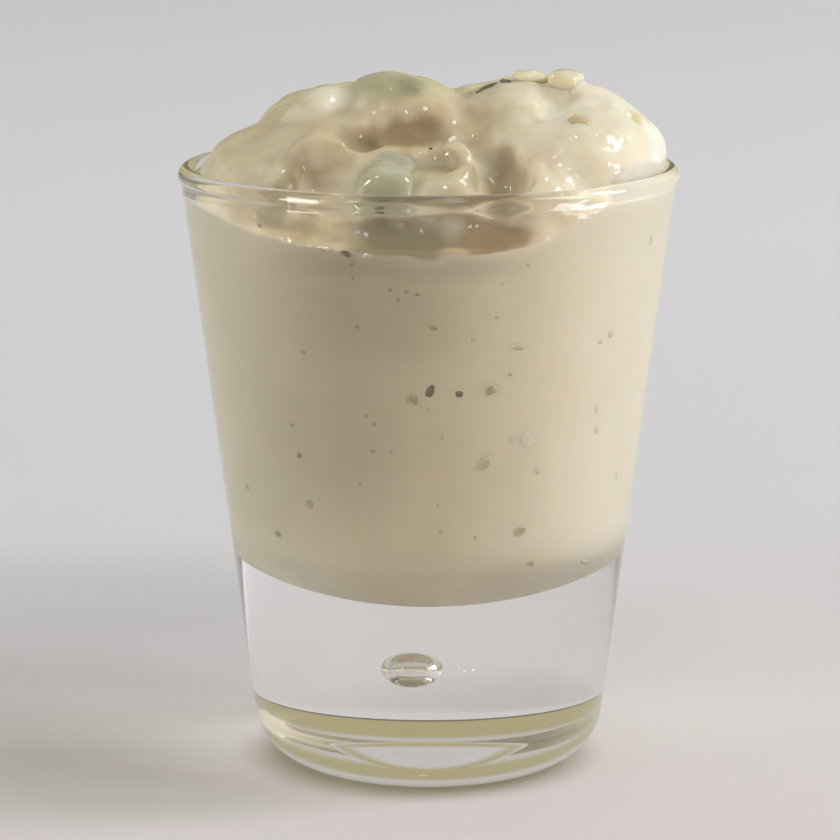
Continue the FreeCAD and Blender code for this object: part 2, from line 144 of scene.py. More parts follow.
# --------------------------------------------------------------- glass tumbler
def hollow_profile():
    """The hollow under the foot from its middle to the flat ring: a shallow
    dome, a rounded shoulder and a steep side."""
    k = PUNT_D - PUNT_DOME
    turn = math.degrees(math.asin(PUNT_TOP / PUNT_DOME))
    dome = arc((0, k), PUNT_DOME, 90, 90 - turn, 22)
    a = math.radians(90 - turn)
    c = dome[-1] - PUNT_SHOULDER * np.array((math.cos(a), math.sin(a)))
    foot = np.array((PUNT_R, 0.0))
    face = math.atan2(-c[1], PUNT_R - c[0]) + math.acos(PUNT_SHOULDER / np.linalg.norm(foot - c))
    shoulder = arc(c, PUNT_SHOULDER, 90 - turn, math.degrees(face), 14)
    e = shoulder[-1]
    p = foot + (e - foot) * min(1.0, 0.3 / np.linalg.norm(e - foot))
    q = foot + np.array((0.3, 0.0))
    lip = np.array([p * (1 - t) ** 2 + foot * 2 * t * (1 - t) + q * t * t for t in np.arange(0, 9) / 8])
    return np.concatenate([dome, shoulder[1:], lip])


def glass_profile():
    """Half section of the tumbler, from the middle of the foot's hollow, round
    the outside, over the bead and down the cavity to its floor."""
    slope = math.atan(TAPER_OUT)
    cx = R_FOOT + TAPER_OUT * FOOT_ROUND - FOOT_ROUND / math.cos(slope)
    under = hollow_profile()
    ring = [(cx - 0.15, 0.0)]
    foot = arc((cx, FOOT_ROUND), FOOT_ROUND, -90, -math.degrees(slope), 40)
    # bead circle and its short hollow roundings into the two walls
    bz = RIM - BEAD_R
    def meet(foot_line, taper):
        a = 1 + taper ** 2
        k = foot_line - BEAD_X
        b = 2 * (k * taper - bz)
        c = k * k + bz * bz - BEAD_R ** 2
        z = (-b - math.sqrt(b * b - 4 * a * c)) / (2 * a)
        return (foot_line + taper * z, z)
    out_at, in_at = meet(R_FOOT, TAPER_OUT), meet(Q_FOOT, TAPER_IN)
    a_out = math.degrees(math.atan2(out_at[1] - bz, out_at[0] - BEAD_X))
    a_in = math.degrees(math.atan2(in_at[1] - bz, in_at[0] - BEAD_X)) + 360
    bead = arc((BEAD_X, bz), BEAD_R, a_out + 14, a_in - 16, 40)
    wall_up = line(foot[-1], (R_FOOT + TAPER_OUT * (out_at[1] - 0.35), out_at[1] - 0.35), 40)
    wall_down = line((Q_FOOT + TAPER_IN * (in_at[1] - 0.45), in_at[1] - 0.45),
                     (CORNER[0] + CORNER_R * math.cos(SLOPE_IN), CORNER[1] - CORNER_R * math.sin(SLOPE_IN)), 40)
    corner = arc(CORNER, CORNER_R, -math.degrees(SLOPE_IN), FLOOR_ANGLE, 18)
    floor = arc((0, K_FLOOR), FLOOR_R, FLOOR_ANGLE, -90, 24)
    pts = np.concatenate([under, ring, foot, wall_up[1:], bead, wall_down, corner[1:], floor[1:]])
    pts[0, 0] = 0.0
    pts[-1, 0] = 0.0
    return pts


gv, gf = lathe(glass_profile(), 288)
# the bubble's skin, facing its own middle: a flattened, slightly uneven ball
bn, bm = 48, 28
bub = [(0.0, 0.0, BUBBLE_TALL)]
for i in range(1, bm):
    p = math.pi * i / bm
    for j in range(bn):
        q = 2 * math.pi * j / bn
        w = 1 + 0.018 * math.cos(2 * q + 0.7) + 0.012 * math.cos(3 * q)
        bub.append((BUBBLE_WIDE * w * math.sin(p) * math.cos(q), BUBBLE_WIDE * w * math.sin(p) * math.sin(q),
                    BUBBLE_TALL * math.cos(p)))
bub.append((0.0, 0.0, -BUBBLE_TALL))
bub = np.array(bub) + np.array(BUBBLE)
bfaces = [(0, 1 + (j + 1) % bn, 1 + j) for j in range(bn)]
for i in range(bm - 2):
    for j in range(bn):
        a, b = 1 + i * bn + j, 1 + i * bn + (j + 1) % bn
        bfaces.append((a, b, b + bn, a + bn))
tip = len(bub) - 1
bfaces += [(tip, 1 + (bm - 2) * bn + j, 1 + (bm - 2) * bn + (j + 1) % bn) for j in range(bn)]
off = len(gv)
glass = new_mesh("glass_tumbler", np.concatenate([gv, bub]), list(gf) + [tuple(v + off for v in q) for q in bfaces])


# ------------------------------------------------------------------- the sauce
def smin(a, b, k):
    t = np.clip(0.5 + 0.5 * (b - a) / k, 0, 1)
    return b + (a - b) * t - k * t * (1 - t)


def smax(a, b, k):
    return -smin(-a, -b, k)


def ease(x, a, b):
    t = np.clip((x - a) / (b - a), 0, 1)
    return t * t * (3 - 2 * t)


def turn_matrix(yaw, pitch, roll):
    y, p, r = np.radians([yaw, pitch, roll])
    rz = np.array([[math.cos(y), -math.sin(y), 0], [math.sin(y), math.cos(y), 0], [0, 0, 1]])
    rx = np.array([[1, 0, 0], [0, math.cos(p), -math.sin(p)], [0, math.sin(p), math.cos(p)]])
    ry = np.array([[math.cos(r), 0, math.sin(r)], [0, 1, 0], [-math.sin(r), 0, math.cos(r)]])
    return rz @ rx @ ry


def ellipsoid(p, centre, radii, turn):
    q = (p - np.array(centre)) @ turn_matrix(*turn)
    r = np.array(radii, float)
    k0 = np.linalg.norm(q / r, axis=-1)
    k1 = np.linalg.norm(q / r ** 2, axis=-1)
    return np.where(k1 > 1e-9, k0 * (k0 - 1) / np.maximum(k1, 1e-9), -r.min())


def roll_of(p, points, k):
    """A round roll through the points, each with its own radius."""
    d = None
    for (a, ra), (b, rb) in zip(points[:-1], points[1:]):
        a, b = np.array(a, float), np.array(b, float)
        ab = b - a
        t = np.clip(((p - a) @ ab) / (ab @ ab), 0, 1)
        e = np.linalg.norm(p - (a + t[..., None] * ab), axis=-1) - (ra + (rb - ra) * t)
        d = e if d is None else smin(d, e, k)
    return d


def lattice_noise(p, seed):
    """Smooth noise between -1 and 1, one bump per unit."""
    cell = np.floor(p).astype(np.int64)
    f = p - cell
    f = f * f * f * (f * (f * 6 - 15) + 10)

    def value(i, j, k):
        n = (i * 374761393 + j * 668265263 + k * 2147483647 + seed * 1442695041) & 0xFFFFFFFF
        n = ((n ^ (n >> 13)) * 1274126177) & 0xFFFFFFFF
        n = (n ^ (n >> 16)) & 0xFFFFFFFF
        return n / 2147483647.5 - 1

    i, j, k = cell[..., 0], cell[..., 1], cell[..., 2]
    x, y, z = f[..., 0], f[..., 1], f[..., 2]
    mix = lambda a, b, t: a + (b - a) * t
    lo = mix(mix(value(i, j, k), value(i + 1, j, k), x), mix(value(i, j + 1, k), value(i + 1, j + 1, k), x), y)
    hi = mix(mix(value(i, j, k + 1), value(i + 1, j, k + 1), x),
             mix(value(i, j + 1, k + 1), value(i + 1, j + 1, k + 1), x), y)
    return mix(lo, hi, z)


def round_blend(x, y, front, left, right, back):
    r = np.maximum(np.hypot(x, y), 1e-6)
    c, s = x / r, y / r
    wf, wb, wl, wr = np.maximum(0, -s) ** 2, np.maximum(0, s) ** 2, np.maximum(0, -c) ** 2, np.maximum(0, c) ** 2
    return wf * front + wb * back + wl * left + wr * right


def mound(x, y):
    """The heap's plain form before its lobes: from the edge line against the
    glass, low at the front, up to the middle."""
    r = np.hypot(x, y)
    edge = round_blend(x, y, -7.2, -3.0, 0.6, -1.0)
    reach = round_blend(x, y, 27.6, 28.2, 29.8, 29.0)
    power = round_blend(x, y, 2.35, 3.0, 3.0, 3.0)
    droop = round_blend(x, y, 1.15, 0.80, 0.72, 0.80)
    rho = np.minimum(r / reach, 1.0)
    return edge + (8.6 - edge) * np.maximum(1 - rho ** power, 0) ** droop


def prism(p, block):
    """Distance to an uneven block with rounded edges: an outline in its own
    X-Z plane, in units of its half width and half height, and a depth."""
    y, q, r = np.radians(block["turn"])
    rz = np.array([[math.cos(y), -math.sin(y), 0], [math.sin(y), math.cos(y), 0], [0, 0, 1]])
    ry = np.array([[math.cos(q), 0, math.sin(q)], [0, 1, 0], [-math.sin(q), 0, math.cos(q)]])
    rx = np.array([[1, 0, 0], [0, math.cos(r), -math.sin(r)], [0, math.sin(r), math.cos(r)]])
    local = (p - np.array(block["centre"])) @ (rz @ ry @ rx)
    wide, tall, deep = block["size"]
    pts = np.array(block["outline"]) * (wide / 2, tall / 2)
    side = None
    for a, b in zip(pts, np.roll(pts, -1, axis=0)):
        n = np.array([b[1] - a[1], a[0] - b[0]])
        n /= np.linalg.norm(n)
        d = (local[..., 0] - a[0]) * n[0] + (local[..., 2] - a[1]) * n[1]
        side = d if side is None else smax(side, d, block["round"] * 0.9)
    side = side + block["round"]
    ends = np.abs(local[..., 1]) - deep / 2 + block["round"]
    out = np.hypot(np.maximum(side, 0), np.maximum(ends, 0)) + np.minimum(np.maximum(side, ends), 0)
    return out - block["round"] + 0.16 * lattice_noise(local / 2.6, 11) + 0.05 * lattice_noise(local / 1.1, 12)


FRONT_CHUNK = {"centre": (-4.8, -18.9, -2.0), "turn": (-8, 9, 14), "size": (7.8, 10.0, 7.6), "round": 1.25,
               "outline": [(-0.92, -0.72), (-0.30, -1.0), (0.74, -0.88), (1.0, 0.10), (0.62, 0.94), (-0.44, 1.0),
                           (-1.0, 0.36)]}
TOP_CHUNK = {"centre": (-5.2, -4.6, 8.6), "turn": (12, -6, 8), "size": (7.0, 5.4, 5.2), "round": 1.3,
             "outline": [(-1.0, -0.62), (0.10, -1.0), (0.94, -0.66), (1.0, 0.42), (0.22, 1.0), (-0.82, 0.74)]}

CUBE = {"centre": (16.2, -3.8, 10.05), "turn": (-24, 8, 6), "size": (3.7, 3.1, 3.2), "round": 0.5,
        "outline": [(-1.0, -0.9), (0.9, -1.0), (1.0, 0.8), (-0.2, 1.0), (-0.95, 0.75)]}


# name, centre, half sizes, turn (yaw, pitch, roll), blend; z from the rim plane
LOBES = [
    ("crown_left", (-3.6, -3.4, 7.0), (7.0, 6.4, 3.9), (0, 10, 4), 2.2),
    ("crown_right", (12.4, -3.4, 6.2), (8.2, 7.0, 3.9), (0, 10, 8), 2.2),
    ("film_ridge", (-13.0, -4.2, 6.9), (3.6, 3.4, 2.4), (10, 0, -20), 2.0),
    ("left_low", (-12.2, -15.6, 0.4), (5.2, 3.8, 4.2), (-10, 0, 14), 3.6),
    ("under_tongue", (2.4, -20.2, -0.4), (3.6, 3.4, 3.6), (0, 0, 0), 1.6),
    ("beside_chunk", (-0.3, -20.6, -2.2), (2.6, 2.6, 3.6), (0, 0, 0), 1.4),
    ("right_crest", (19.8, -2.6, 5.9), (5.4, 6.5, 3.3), (0, 0, 22), 2.2),
    ("right_big", (18.6, -11.6, 1.2), (8.6, 8.2, 6.6), (20, 0, 12), 3.6),
    ("right_low", (12.6, -19.4, -2.0), (5.4, 4.0, 3.6), (20, 0, 8), 2.6),
    ("right_shoulder", (24.4, -3.4, 1.2), (3.8, 6.6, 4.6), (0, 0, 0), 2.6),
    ("left_shoulder", (-23.0, -4.0, -1.0), (2.8, 7.0, 4.2), (0, 0, 0), 3.0),
    ("bump_oval", (17.2, -8.0, 5.9), (2.9, 2.2, 2.3), (0, 0, 25), 1.4),
    ("bump_right", (24.3, -6.6, 4.6), (1.2, 1.4, 1.9), (0, 0, 0), 1.4),
    ("front_skirt", (-1.0, -22.5, -6.0), (9.0, 4.6, 3.0), (0, 0, 0), 2.2),
    ("back_left", (-11.0, 12.0, 3.0), (9.0, 7.0, 5.0), (-20, 0, 0), 3.0),
    ("back_right", (12.0, 13.5, 3.0), (9.5, 7.0, 5.0), (24, 0, 0), 3.0),
    ("back_low", (2.0, 20.0, -1.0), (8.0, 5.0, 4.5), (0, 0, 0), 2.4),
]
TONGUE = [((-9.6, -15.6, 1.0), 1.7), ((-5.4, -15.9, 2.8), 1.8), ((-1.2, -16.0, 3.6), 1.9), ((2.2, -16.6, 3.3), 1.9),
          ((4.1, -17.8, 1.7), 1.8), ((4.3, -19.4, -0.6), 1.9), ((2.4, -20.8, -2.6), 1.8)]
HOLLOWS = [
    ("crown_hollow", (-1.6, -14.4, 6.2), (6.9, 3.4, 2.0), (0, 18, 3), 2.6),
    ("pocket", (0.9, -20.2, 2.7), (2.2, 2.0, 1.0), (0, 0, 10), 2.2),
    ("recess", (8.4, -20.8, 0.2), (2.2, 4.0, 3.0), (0, 20, -6), 3.0),
    ("left_valley", (-9.6, -13.6, 5.0), (3.6, 2.0, 1.3), (-20, 10, 30), 2.2),
    ("brown_recess", (6.2, -25.2, -3.5), (5.6, 3.6, 2.6), (8, 0, 4), 1.4),
    ("front_trough", (-3.0, -25.2, -4.2), (9.0, 2.6, 2.2), (0, 0, 0), 1.4),
    ("left_trough", (-15.5, -20.6, -3.0), (4.6, 2.0, 1.8), (-34, 0, 6), 1.4),
    ("right_valley", (14.6, -8.0, 9.3), (1.8, 5.0, 1.6), (-14, 30, 0), 3.0),
    ("left_dent", (-17.0, -18.6, -0.2), (1.7, 1.6, 1.4), (0, 0, 0), 1.2),
]
CREASE = [((4.5, -2.0, 11.0), 1.1), ((4.8, -8.4, 8.9), 1.4), ((5.8, -12.8, 5.9), 1.7), ((7.4, -17.2, 3.5), 1.8),
          ((8.4, -20.6, 0.6), 1.8)]
BACK_FURROW = [((2.6, 3.0, 10.6), 1.0), ((2.0, 12.0, 9.2), 1.2), ((0.6, 20.0, 5.0), 1.0)]


def heap_distance(p):
    x, y, z = p[..., 0], p[..., 1], p[..., 2]
    d = (z - mound(x, y)) * 0.72
    for name, centre, radii, turn, k in LOBES:
        d = smin(d, ellipsoid(p, centre, radii, turn), k)
    d = smin(d, roll_of(p, TONGUE, 0.8), 1.6)
    for name, centre, radii, turn, k in HOLLOWS:
        d = smax(d, -ellipsoid(p, centre, radii, turn), k)
    d = smax(d, -roll_of(p, CREASE, 0.8), 2.8)
    d = smax(d, -roll_of(p, BACK_FURROW, 0.8), 2.2)
    d = d + 0.32 * lattice_noise(p / 4.4, 3) + 0.20 * lattice_noise(p / 2.5, 5) + 0.05 * lattice_noise(p / 1.3, 7)
    wrinkle = ease(x, 8, 15) * ease(28 - np.hypot(x, y), 0, 3) * ease(-y, 2, 8)
    d = d + (0.16 * lattice_noise(p * (0.75, 0.75, 0.55), 9) + 0.07 * lattice_noise(p * (1.1, 1.1, 0.9), 10)) * wrinkle
    # the sauce wets the chunks and draws up round them
    d = smin(d, prism(p, FRONT_CHUNK) + 0.42, 1.1)
    d = smin(d, prism(p, TOP_CHUNK) + 0.16, 1.8)
    d = smin(d, prism(p, CUBE) + 0.50, 1.9)
    return smax(d, np.hypot(x, y) - 28.5, 1.3)


def sauce_distance(p):
    r, z = np.hypot(p[..., 0], p[..., 1]), p[..., 2]
    d = cavity_distance(r, z) - INTO_WALL
    high = z > -12.5
    out = d.copy()
    if high.any():
        out[high] = smax(d[high], heap_distance(p[high]), 0.8)
    return out


def surface_net(distance, lo, hi, step):
    """Quad mesh of the zero surface of a distance function on a regular grid,
    its points then moved onto the surface."""
    axes = [np.arange(a, b + step, step) for a, b in zip(lo, hi)]
    n = [len(a) for a in axes]
    f = np.empty(n, np.float32)
    yy, zz = np.meshgrid(axes[1], axes[2], indexing="ij")
    for i, x in enumerate(axes[0]):
        f[i] = distance(np.stack([np.full(yy.shape, x), yy, zz], -1))
    inside = f < 0
    total = np.zeros((n[0] - 1, n[1] - 1, n[2] - 1, 3), np.float32)
    count = np.zeros((n[0] - 1, n[1] - 1, n[2] - 1), np.float32)
    corners = [(0, 0, 0), (1, 0, 0), (0, 1, 0), (1, 1, 0), (0, 0, 1), (1, 0, 1), (0, 1, 1), (1, 1, 1)]
    cut = lambda c: tuple(slice(o, o + m - 1) for o, m in zip(c, n))
    for a in range(8):
        for axis in range(3):
            b = list(corners[a])
            if b[axis]:
                continue
            b[axis] = 1
            fa, fb = f[cut(corners[a])], f[cut(tuple(b))]
            cross = (fa < 0) != (fb < 0)
            t = np.where(cross, fa / np.where(cross, fa - fb, 1), 0)
            for k in range(3):
                base = corners[a][k] + (t if k == axis else 0)
                total[..., k] += np.where(cross, base, 0)
            count += cross
    active = count > 0
    index = -np.ones(active.shape, np.int64)
    index[active] = np.arange(active.sum())
    cell = np.argwhere(active)
    verts = (cell + total[active] / count[active][:, None]) * step + np.array([a[0] for a in axes])
    faces = []
    for axis in range(3):
        u, v = (axis + 1) % 3, (axis + 2) % 3
        sl_a, sl_b = [slice(None)] * 3, [slice(None)] * 3
        sl_a[axis], sl_b[axis] = slice(0, -1), slice(1, None)
        a, b = inside[tuple(sl_a)], inside[tuple(sl_b)]
        edge = np.argwhere(a != b)
        ok = np.ones(len(edge), bool)
        for k in (u, v):
            ok &= (edge[:, k] > 0) & (edge[:, k] < n[k] - 1)
        edge = edge[ok]
        flip = a[tuple(edge.T)]
        ring = []
        for du, dv in ((-1, -1), (0, -1), (0, 0), (-1, 0)):
            c = edge.copy()
            c[:, u] += du
            c[:, v] += dv
            ring.append(index[tuple(c.T)])
        quad = np.stack(ring, 1)
        quad[~flip] = quad[~flip][:, ::-1]
        faces.append(quad)
    return verts, np.concatenate(faces)


def onto(distance, verts, rounds=3, reach=0.25):
    """Moves points onto the zero surface, each by no more than reach."""
    start = verts.copy()
    e = 0.03
    for _ in range(rounds):
        d = distance(verts)
        g = np.stack([distance(verts + np.eye(3)[k] * e) - distance(verts - np.eye(3)[k] * e) for k in range(3)], -1)
        g /= 2 * e
        size = np.maximum((g ** 2).sum(-1), 0.2)
        verts = verts - (d / size)[:, None] * g
        move = verts - start
        far = np.linalg.norm(move, axis=1)
        verts = start + move * np.minimum(1, reach / np.maximum(far, 1e-9))[:, None]
    return verts


STEP = 0.42
sv, sf = surface_net(sauce_distance, (-29.6, -29.6, FLOOR_Z - RIM - 0.6), (29.6, 29.6, 13.2), STEP)
sv = onto(sauce_distance, sv)
wall_gap = cavity_distance(np.hypot(sv[:, 0], sv[:, 1]), sv[:, 2])


def slope_of(distance, p, e=0.05):
    g = np.stack([distance(p + np.eye(3)[k] * e) - distance(p - np.eye(3)[k] * e) for k in range(3)], -1)
    return g / np.maximum(np.linalg.norm(g, axis=1), 1e-9)[:, None]


# colours painted on the sauce where it differs from plain cream: the green and tan of bits under its skin, painted
# shade in its folds, hollows, troughs and crease, painted highlights and reflections, and painted light on the right;
# centre, half sizes, colour, strength; z from the rim plane
COLOUR_AND_SHADE_PATCHES = [
    # green of the top gherkin under the skin
    ((-4.2, -5.8, 9.2), (5.6, 5.0, 3.0), (0.40, 0.39, 0.21), 0.9),
    ((-2.2, -5.8, 9.8), (2.6, 4.0, 1.8), (0.27, 0.255, 0.125), 0.8),
    ((-12.4, -5.0, 8.4), (3.2, 3.8, 1.9), (0.92, 0.89, 0.76), 0.75),
    # warmer tan on the crown
    ((2.0, -7.0, 8.0), (4.2, 4.0, 3.0), (0.66, 0.53, 0.32), 0.55),
    # painted shade: under the crown, on the left lobe and its valley, in the crown hollow, the recess, the troughs
    # under the rim and the pocket
    ((-2.6, -10.2, 7.2), (7.5, 3.0, 2.2), (0.56, 0.44, 0.26), 0.7),
    ((-12.4, -16.4, 0.6), (5.4, 4.6, 5.2), (0.375, 0.275, 0.135), 0.9),
    ((-7.6, -12.8, 4.4), (4.0, 3.4, 2.6), (0.50, 0.38, 0.21), 0.7),
    ((-2.0, -12.8, 5.2), (6.6, 4.2, 3.0), (0.27, 0.18, 0.07), 0.88),
    ((8.0, -18.0, 1.4), (2.4, 5.0, 4.0), (0.45, 0.34, 0.17), 0.8),
    ((6.4, -24.6, -4.9), (6.6, 5.4, 4.2), (0.31, 0.205, 0.075), 0.95),
    ((-3.4, -24.8, -5.4), (8.0, 5.4, 4.0), (0.22, 0.185, 0.085), 0.95),
    ((-14.0, -21.4, -4.4), (6.6, 4.8, 3.2), (0.46, 0.38, 0.21), 0.8),
    ((1.3, -18.7, 2.8), (2.4, 2.4, 1.6), (0.56, 0.45, 0.26), 0.5),
    # painted highlight on the tongue's right edge
    ((5.6, -16.8, 3.7), (1.8, 2.8, 1.4), (0.95, 0.93, 0.82), 0.95),
    # painted shade on the tongue's lower right flank
    ((4.8, -20.0, 1.2), (2.7, 4.0, 1.8), (0.44, 0.365, 0.21), 0.9),
    # darker low on the right, below the rim
    ((15.2, -21.5, -2.8), (4.0, 4.0, 2.4), (0.62, 0.545, 0.375), 0.6),
    # painted grey-white reflections right of the chunk and in the front trough
    ((0.6, -21.0, -0.6), (1.9, 3.0, 2.2), (0.72, 0.69, 0.56), 0.7),
    ((2.6, -25.0, -3.6), (2.0, 3.6, 2.4), (0.56, 0.52, 0.40), 0.8),
    # painted shade in the crease
    ((5.6, -10.6, 6.6), (2.8, 5.4, 4.2), (0.54, 0.42, 0.225), 0.6),
    # painted shade low on the left under the rim
    ((-20.0, -17.5, -2.4), (6.5, 5.0, 3.4), (0.42, 0.355, 0.21), 0.8),
    # a little darker and warmer on the lower right lobe
    ((12.8, -18.4, 1.6), (4.0, 3.6, 3.6), (0.70, 0.58, 0.37), 0.55),
    # tan of the caper half under the skin
    ((17.0, -10.4, 6.2), (2.9, 2.6, 1.9), (0.56, 0.40, 0.17), 0.9),
    # painted light on the right shoulder and crest, towards the window
    ((27.0, -6.0, 2.4), (3.4, 8.0, 5.0), (0.95, 0.93, 0.80), 0.9),
    ((24.0, -4.4, 6.8), (4.6, 6.0, 2.6), (0.90, 0.86, 0.68), 0.5),
    # yellow on the small bump on the right
    ((24.2, -7.4, 5.8), (1.1, 1.6, 2.0), (0.80, 0.68, 0.34), 0.8),
    # painted light in the valley on the right
    ((14.8, -9.6, 7.4), (3.0, 4.2, 2.2), (0.97, 0.93, 0.74), 0.85),
]


def paint(p, n, on_wall):
    """Two albedos for each point: of the free surface, cream with painted shade in the folds and on its tops and
    painted light on the right, and of the sauce that lies against the glass, with painted light and shade round the
    glass."""
    # how shut in each point is by the sauce round it, for the painted shade in the folds; a fixed amount against the
    # glass
    occlusion = np.zeros(len(p))
    for t, w in ((1.2, 0.3), (2.4, 0.4), (4.4, 0.3)):
        occlusion += w * np.clip((t - heap_distance(p + n * t)) / t, 0, 1)
    occlusion = np.where(on_wall, 0.3, occlusion)
    cream = np.array((0.735, 0.668, 0.478))
    free = np.repeat(cream[None], len(p), 0)
    # painted light: lighter and paler towards the right, where the window is
    side = ease(p[:, 0], 2, 17)[:, None]
    free = free + (np.array((0.86, 0.78, 0.575)) - free) * side
    # painted shade: surfaces facing up darker and warmer, less so on the lit right
    top_shade = np.where(on_wall, 0, ease(n[:, 2], 0.45, 0.95))[:, None] * (1 - side)
    free = free * (1 - top_shade * (1 - np.array((0.84, 0.78, 0.64))))
    # painted shade: browner where the point is shut in
    fold_shade = ease(occlusion, 0.27, 0.78)[:, None]
    free = free + (np.array((0.44, 0.32, 0.15)) - free) * fold_shade * 0.9
    wobble = lattice_noise(p / 3.1, 21) * 0.22 + lattice_noise(p / 1.3, 22) * 0.12
    for centre, radii, colour, strength in COLOUR_AND_SHADE_PATCHES:
        r = np.linalg.norm((p - np.array(centre)) / np.array(radii), axis=1) + wobble
        free = free + (np.array(colour) - free) * (strength * (1 - ease(r, 0.45, 1.15)))[:, None]
    # against the glass, painted light and shade by the turn round it: greyer on the left,
    # painted shade deepest left of the middle, lighter and rosier on the right where the window lights it, and painted
    # light towards the floor
    turn = np.degrees(np.arctan2(p[:, 0], -p[:, 1]))
    light_by_turn = np.array([(-180, 0.86, 0.88, 0.92), (-100, 0.88, 0.91, 0.95), (-75, 0.86, 0.90, 0.95), (-47, 0.75, 0.77, 0.84),
                      (-20, 0.76, 0.76, 0.78), (0, 0.88, 0.87, 0.90), (18, 1.0, 1.0, 1.06), (37, 1.02, 1.02, 1.125), (58, 0.96, 0.99, 1.14),
                      (80, 0.945, 0.955, 1.04), (180, 0.86, 0.88, 0.92)])
    wall = cream * np.stack([np.interp(turn, light_by_turn[:, 0], light_by_turn[:, k]) for k in (1, 2, 3)], -1)
    # painted light: lighter low down towards the floor, more so on the right
    low = 1 + (0.28 + 0.16 * ease(p[:, 0], -4, 10)) * (1 - ease(p[:, 2], 25 - RIM, 34 - RIM))
    # painted shade: darker in front left of the middle, high up and again lower down
    r = np.linalg.norm((p - np.array((-8, -26, -13))) / np.array((15, 14, 12)), axis=1)
    deep = 1 - (0.20 * (1 - ease(r, 0.2, 1.1)))[:, None] * np.array((0.9, 1.0, 1.1))
    r = np.linalg.norm((p - np.array((-11, -21, -29))) / np.array((12, 12, 11)), axis=1)
    deep = deep * (1 - 0.12 * (1 - ease(r, 0.3, 1.1)))[:, None]
    # painted shade: darker just below the line where the heap meets the glass, in front
    shade_below_line = 1 - 0.16 * ease(p[:, 2], -11.0, -8.4) * (1 - ease(np.abs(p[:, 0] + 3), 8, 18))
    wall = wall * deep * (low * shade_below_line)[:, None]
    wall = wall * np.minimum(1, 0.93 / wall.max(1))[:, None]
    # inside the bead the two are one
    both = (on_wall & (p[:, 2] > -3.5))[:, None]
    free = np.where(both, wall, free)
    return np.clip(free, 0.02, 0.95), np.clip(wall, 0.02, 0.95)


colour_and_shade = paint(sv, slope_of(sauce_distance, sv), wall_gap > 0.02)
sv[:, 2] += RIM
sauce = new_mesh("tartar_sauce", sv, sf)
against_glass = (wall_gap[sf].min(1) > 0.0).astype(np.int32)
for name, values in zip(("colour_and_shade", "colour_and_shade_at_glass"), colour_and_shade):
    layer = sauce.data.color_attributes.new(name=name, type="FLOAT_COLOR", domain="POINT")
    layer.data.foreach_set("color", np.concatenate([values, np.ones((len(values), 1))], 1).ravel())


# ------------------------------------------------------------- gherkin chunks
def chunk_mesh(name, block, lo, hi):
    field = lambda p: prism(p, block)
    v, q = surface_net(field, lo, hi, 0.30)
    v = onto(field, v)
    v[:, 2] += RIM
    return new_mesh(name, v, q)


front_piece = chunk_mesh("front_piece", FRONT_CHUNK, (-10.6, -24.8, -9.0), (1.2, -13.0, 5.2))
top_piece = chunk_mesh("top_piece", TOP_CHUNK, (-10.4, -9.0, 4.2), (-0.2, -0.4, 13.0))


# ---------------------------------------------------------------- small bits
def flake(centre, axes, half, seed, lumps=0.18, steps=(14, 9)):
    """A small uneven lump: a ball stretched along three axes and dented."""
    m, k = steps
    v = [(0, 0, 1.0)]
    for i in range(1, k):
        a = math.pi * i / k
        for j in range(m):
            b = 2 * math.pi * j / m
            v.append((math.sin(a) * math.cos(b), math.sin(a) * math.sin(b), math.cos(a)))
    v.append((0, 0, -1.0))
    v = np.array(v)
    f = [(0, 1 + (j + 1) % m, 1 + j)[::-1] for j in range(m)]
    for i in range(k - 2):
        for j in range(m):
            a, b = 1 + i * m + j, 1 + i * m + (j + 1) % m
            f.append((a, a + m, b + m, b))
    tip = len(v) - 1
    f += [(tip, 1 + (k - 2) * m + j, 1 + (k - 2) * m + (j + 1) % m)[::-1] for j in range(m)]
    size = 1 + lumps * lattice_noise(v * 1.7 + seed * 7.3, seed) + 0.5 * lumps * lattice_noise(v * 3.3 + seed, seed + 5)
    v = v * size[:, None] * np.array(half)
    return v @ np.array(axes) + np.array(centre), f


def joined(name, parts):
    verts, faces, off = [], [], 0
    for v, f in parts:
        verts.append(v)
        faces += [tuple(k + off for k in q) for q in f]
        off += len(v)
    return new_mesh(name, np.concatenate(verts), faces)


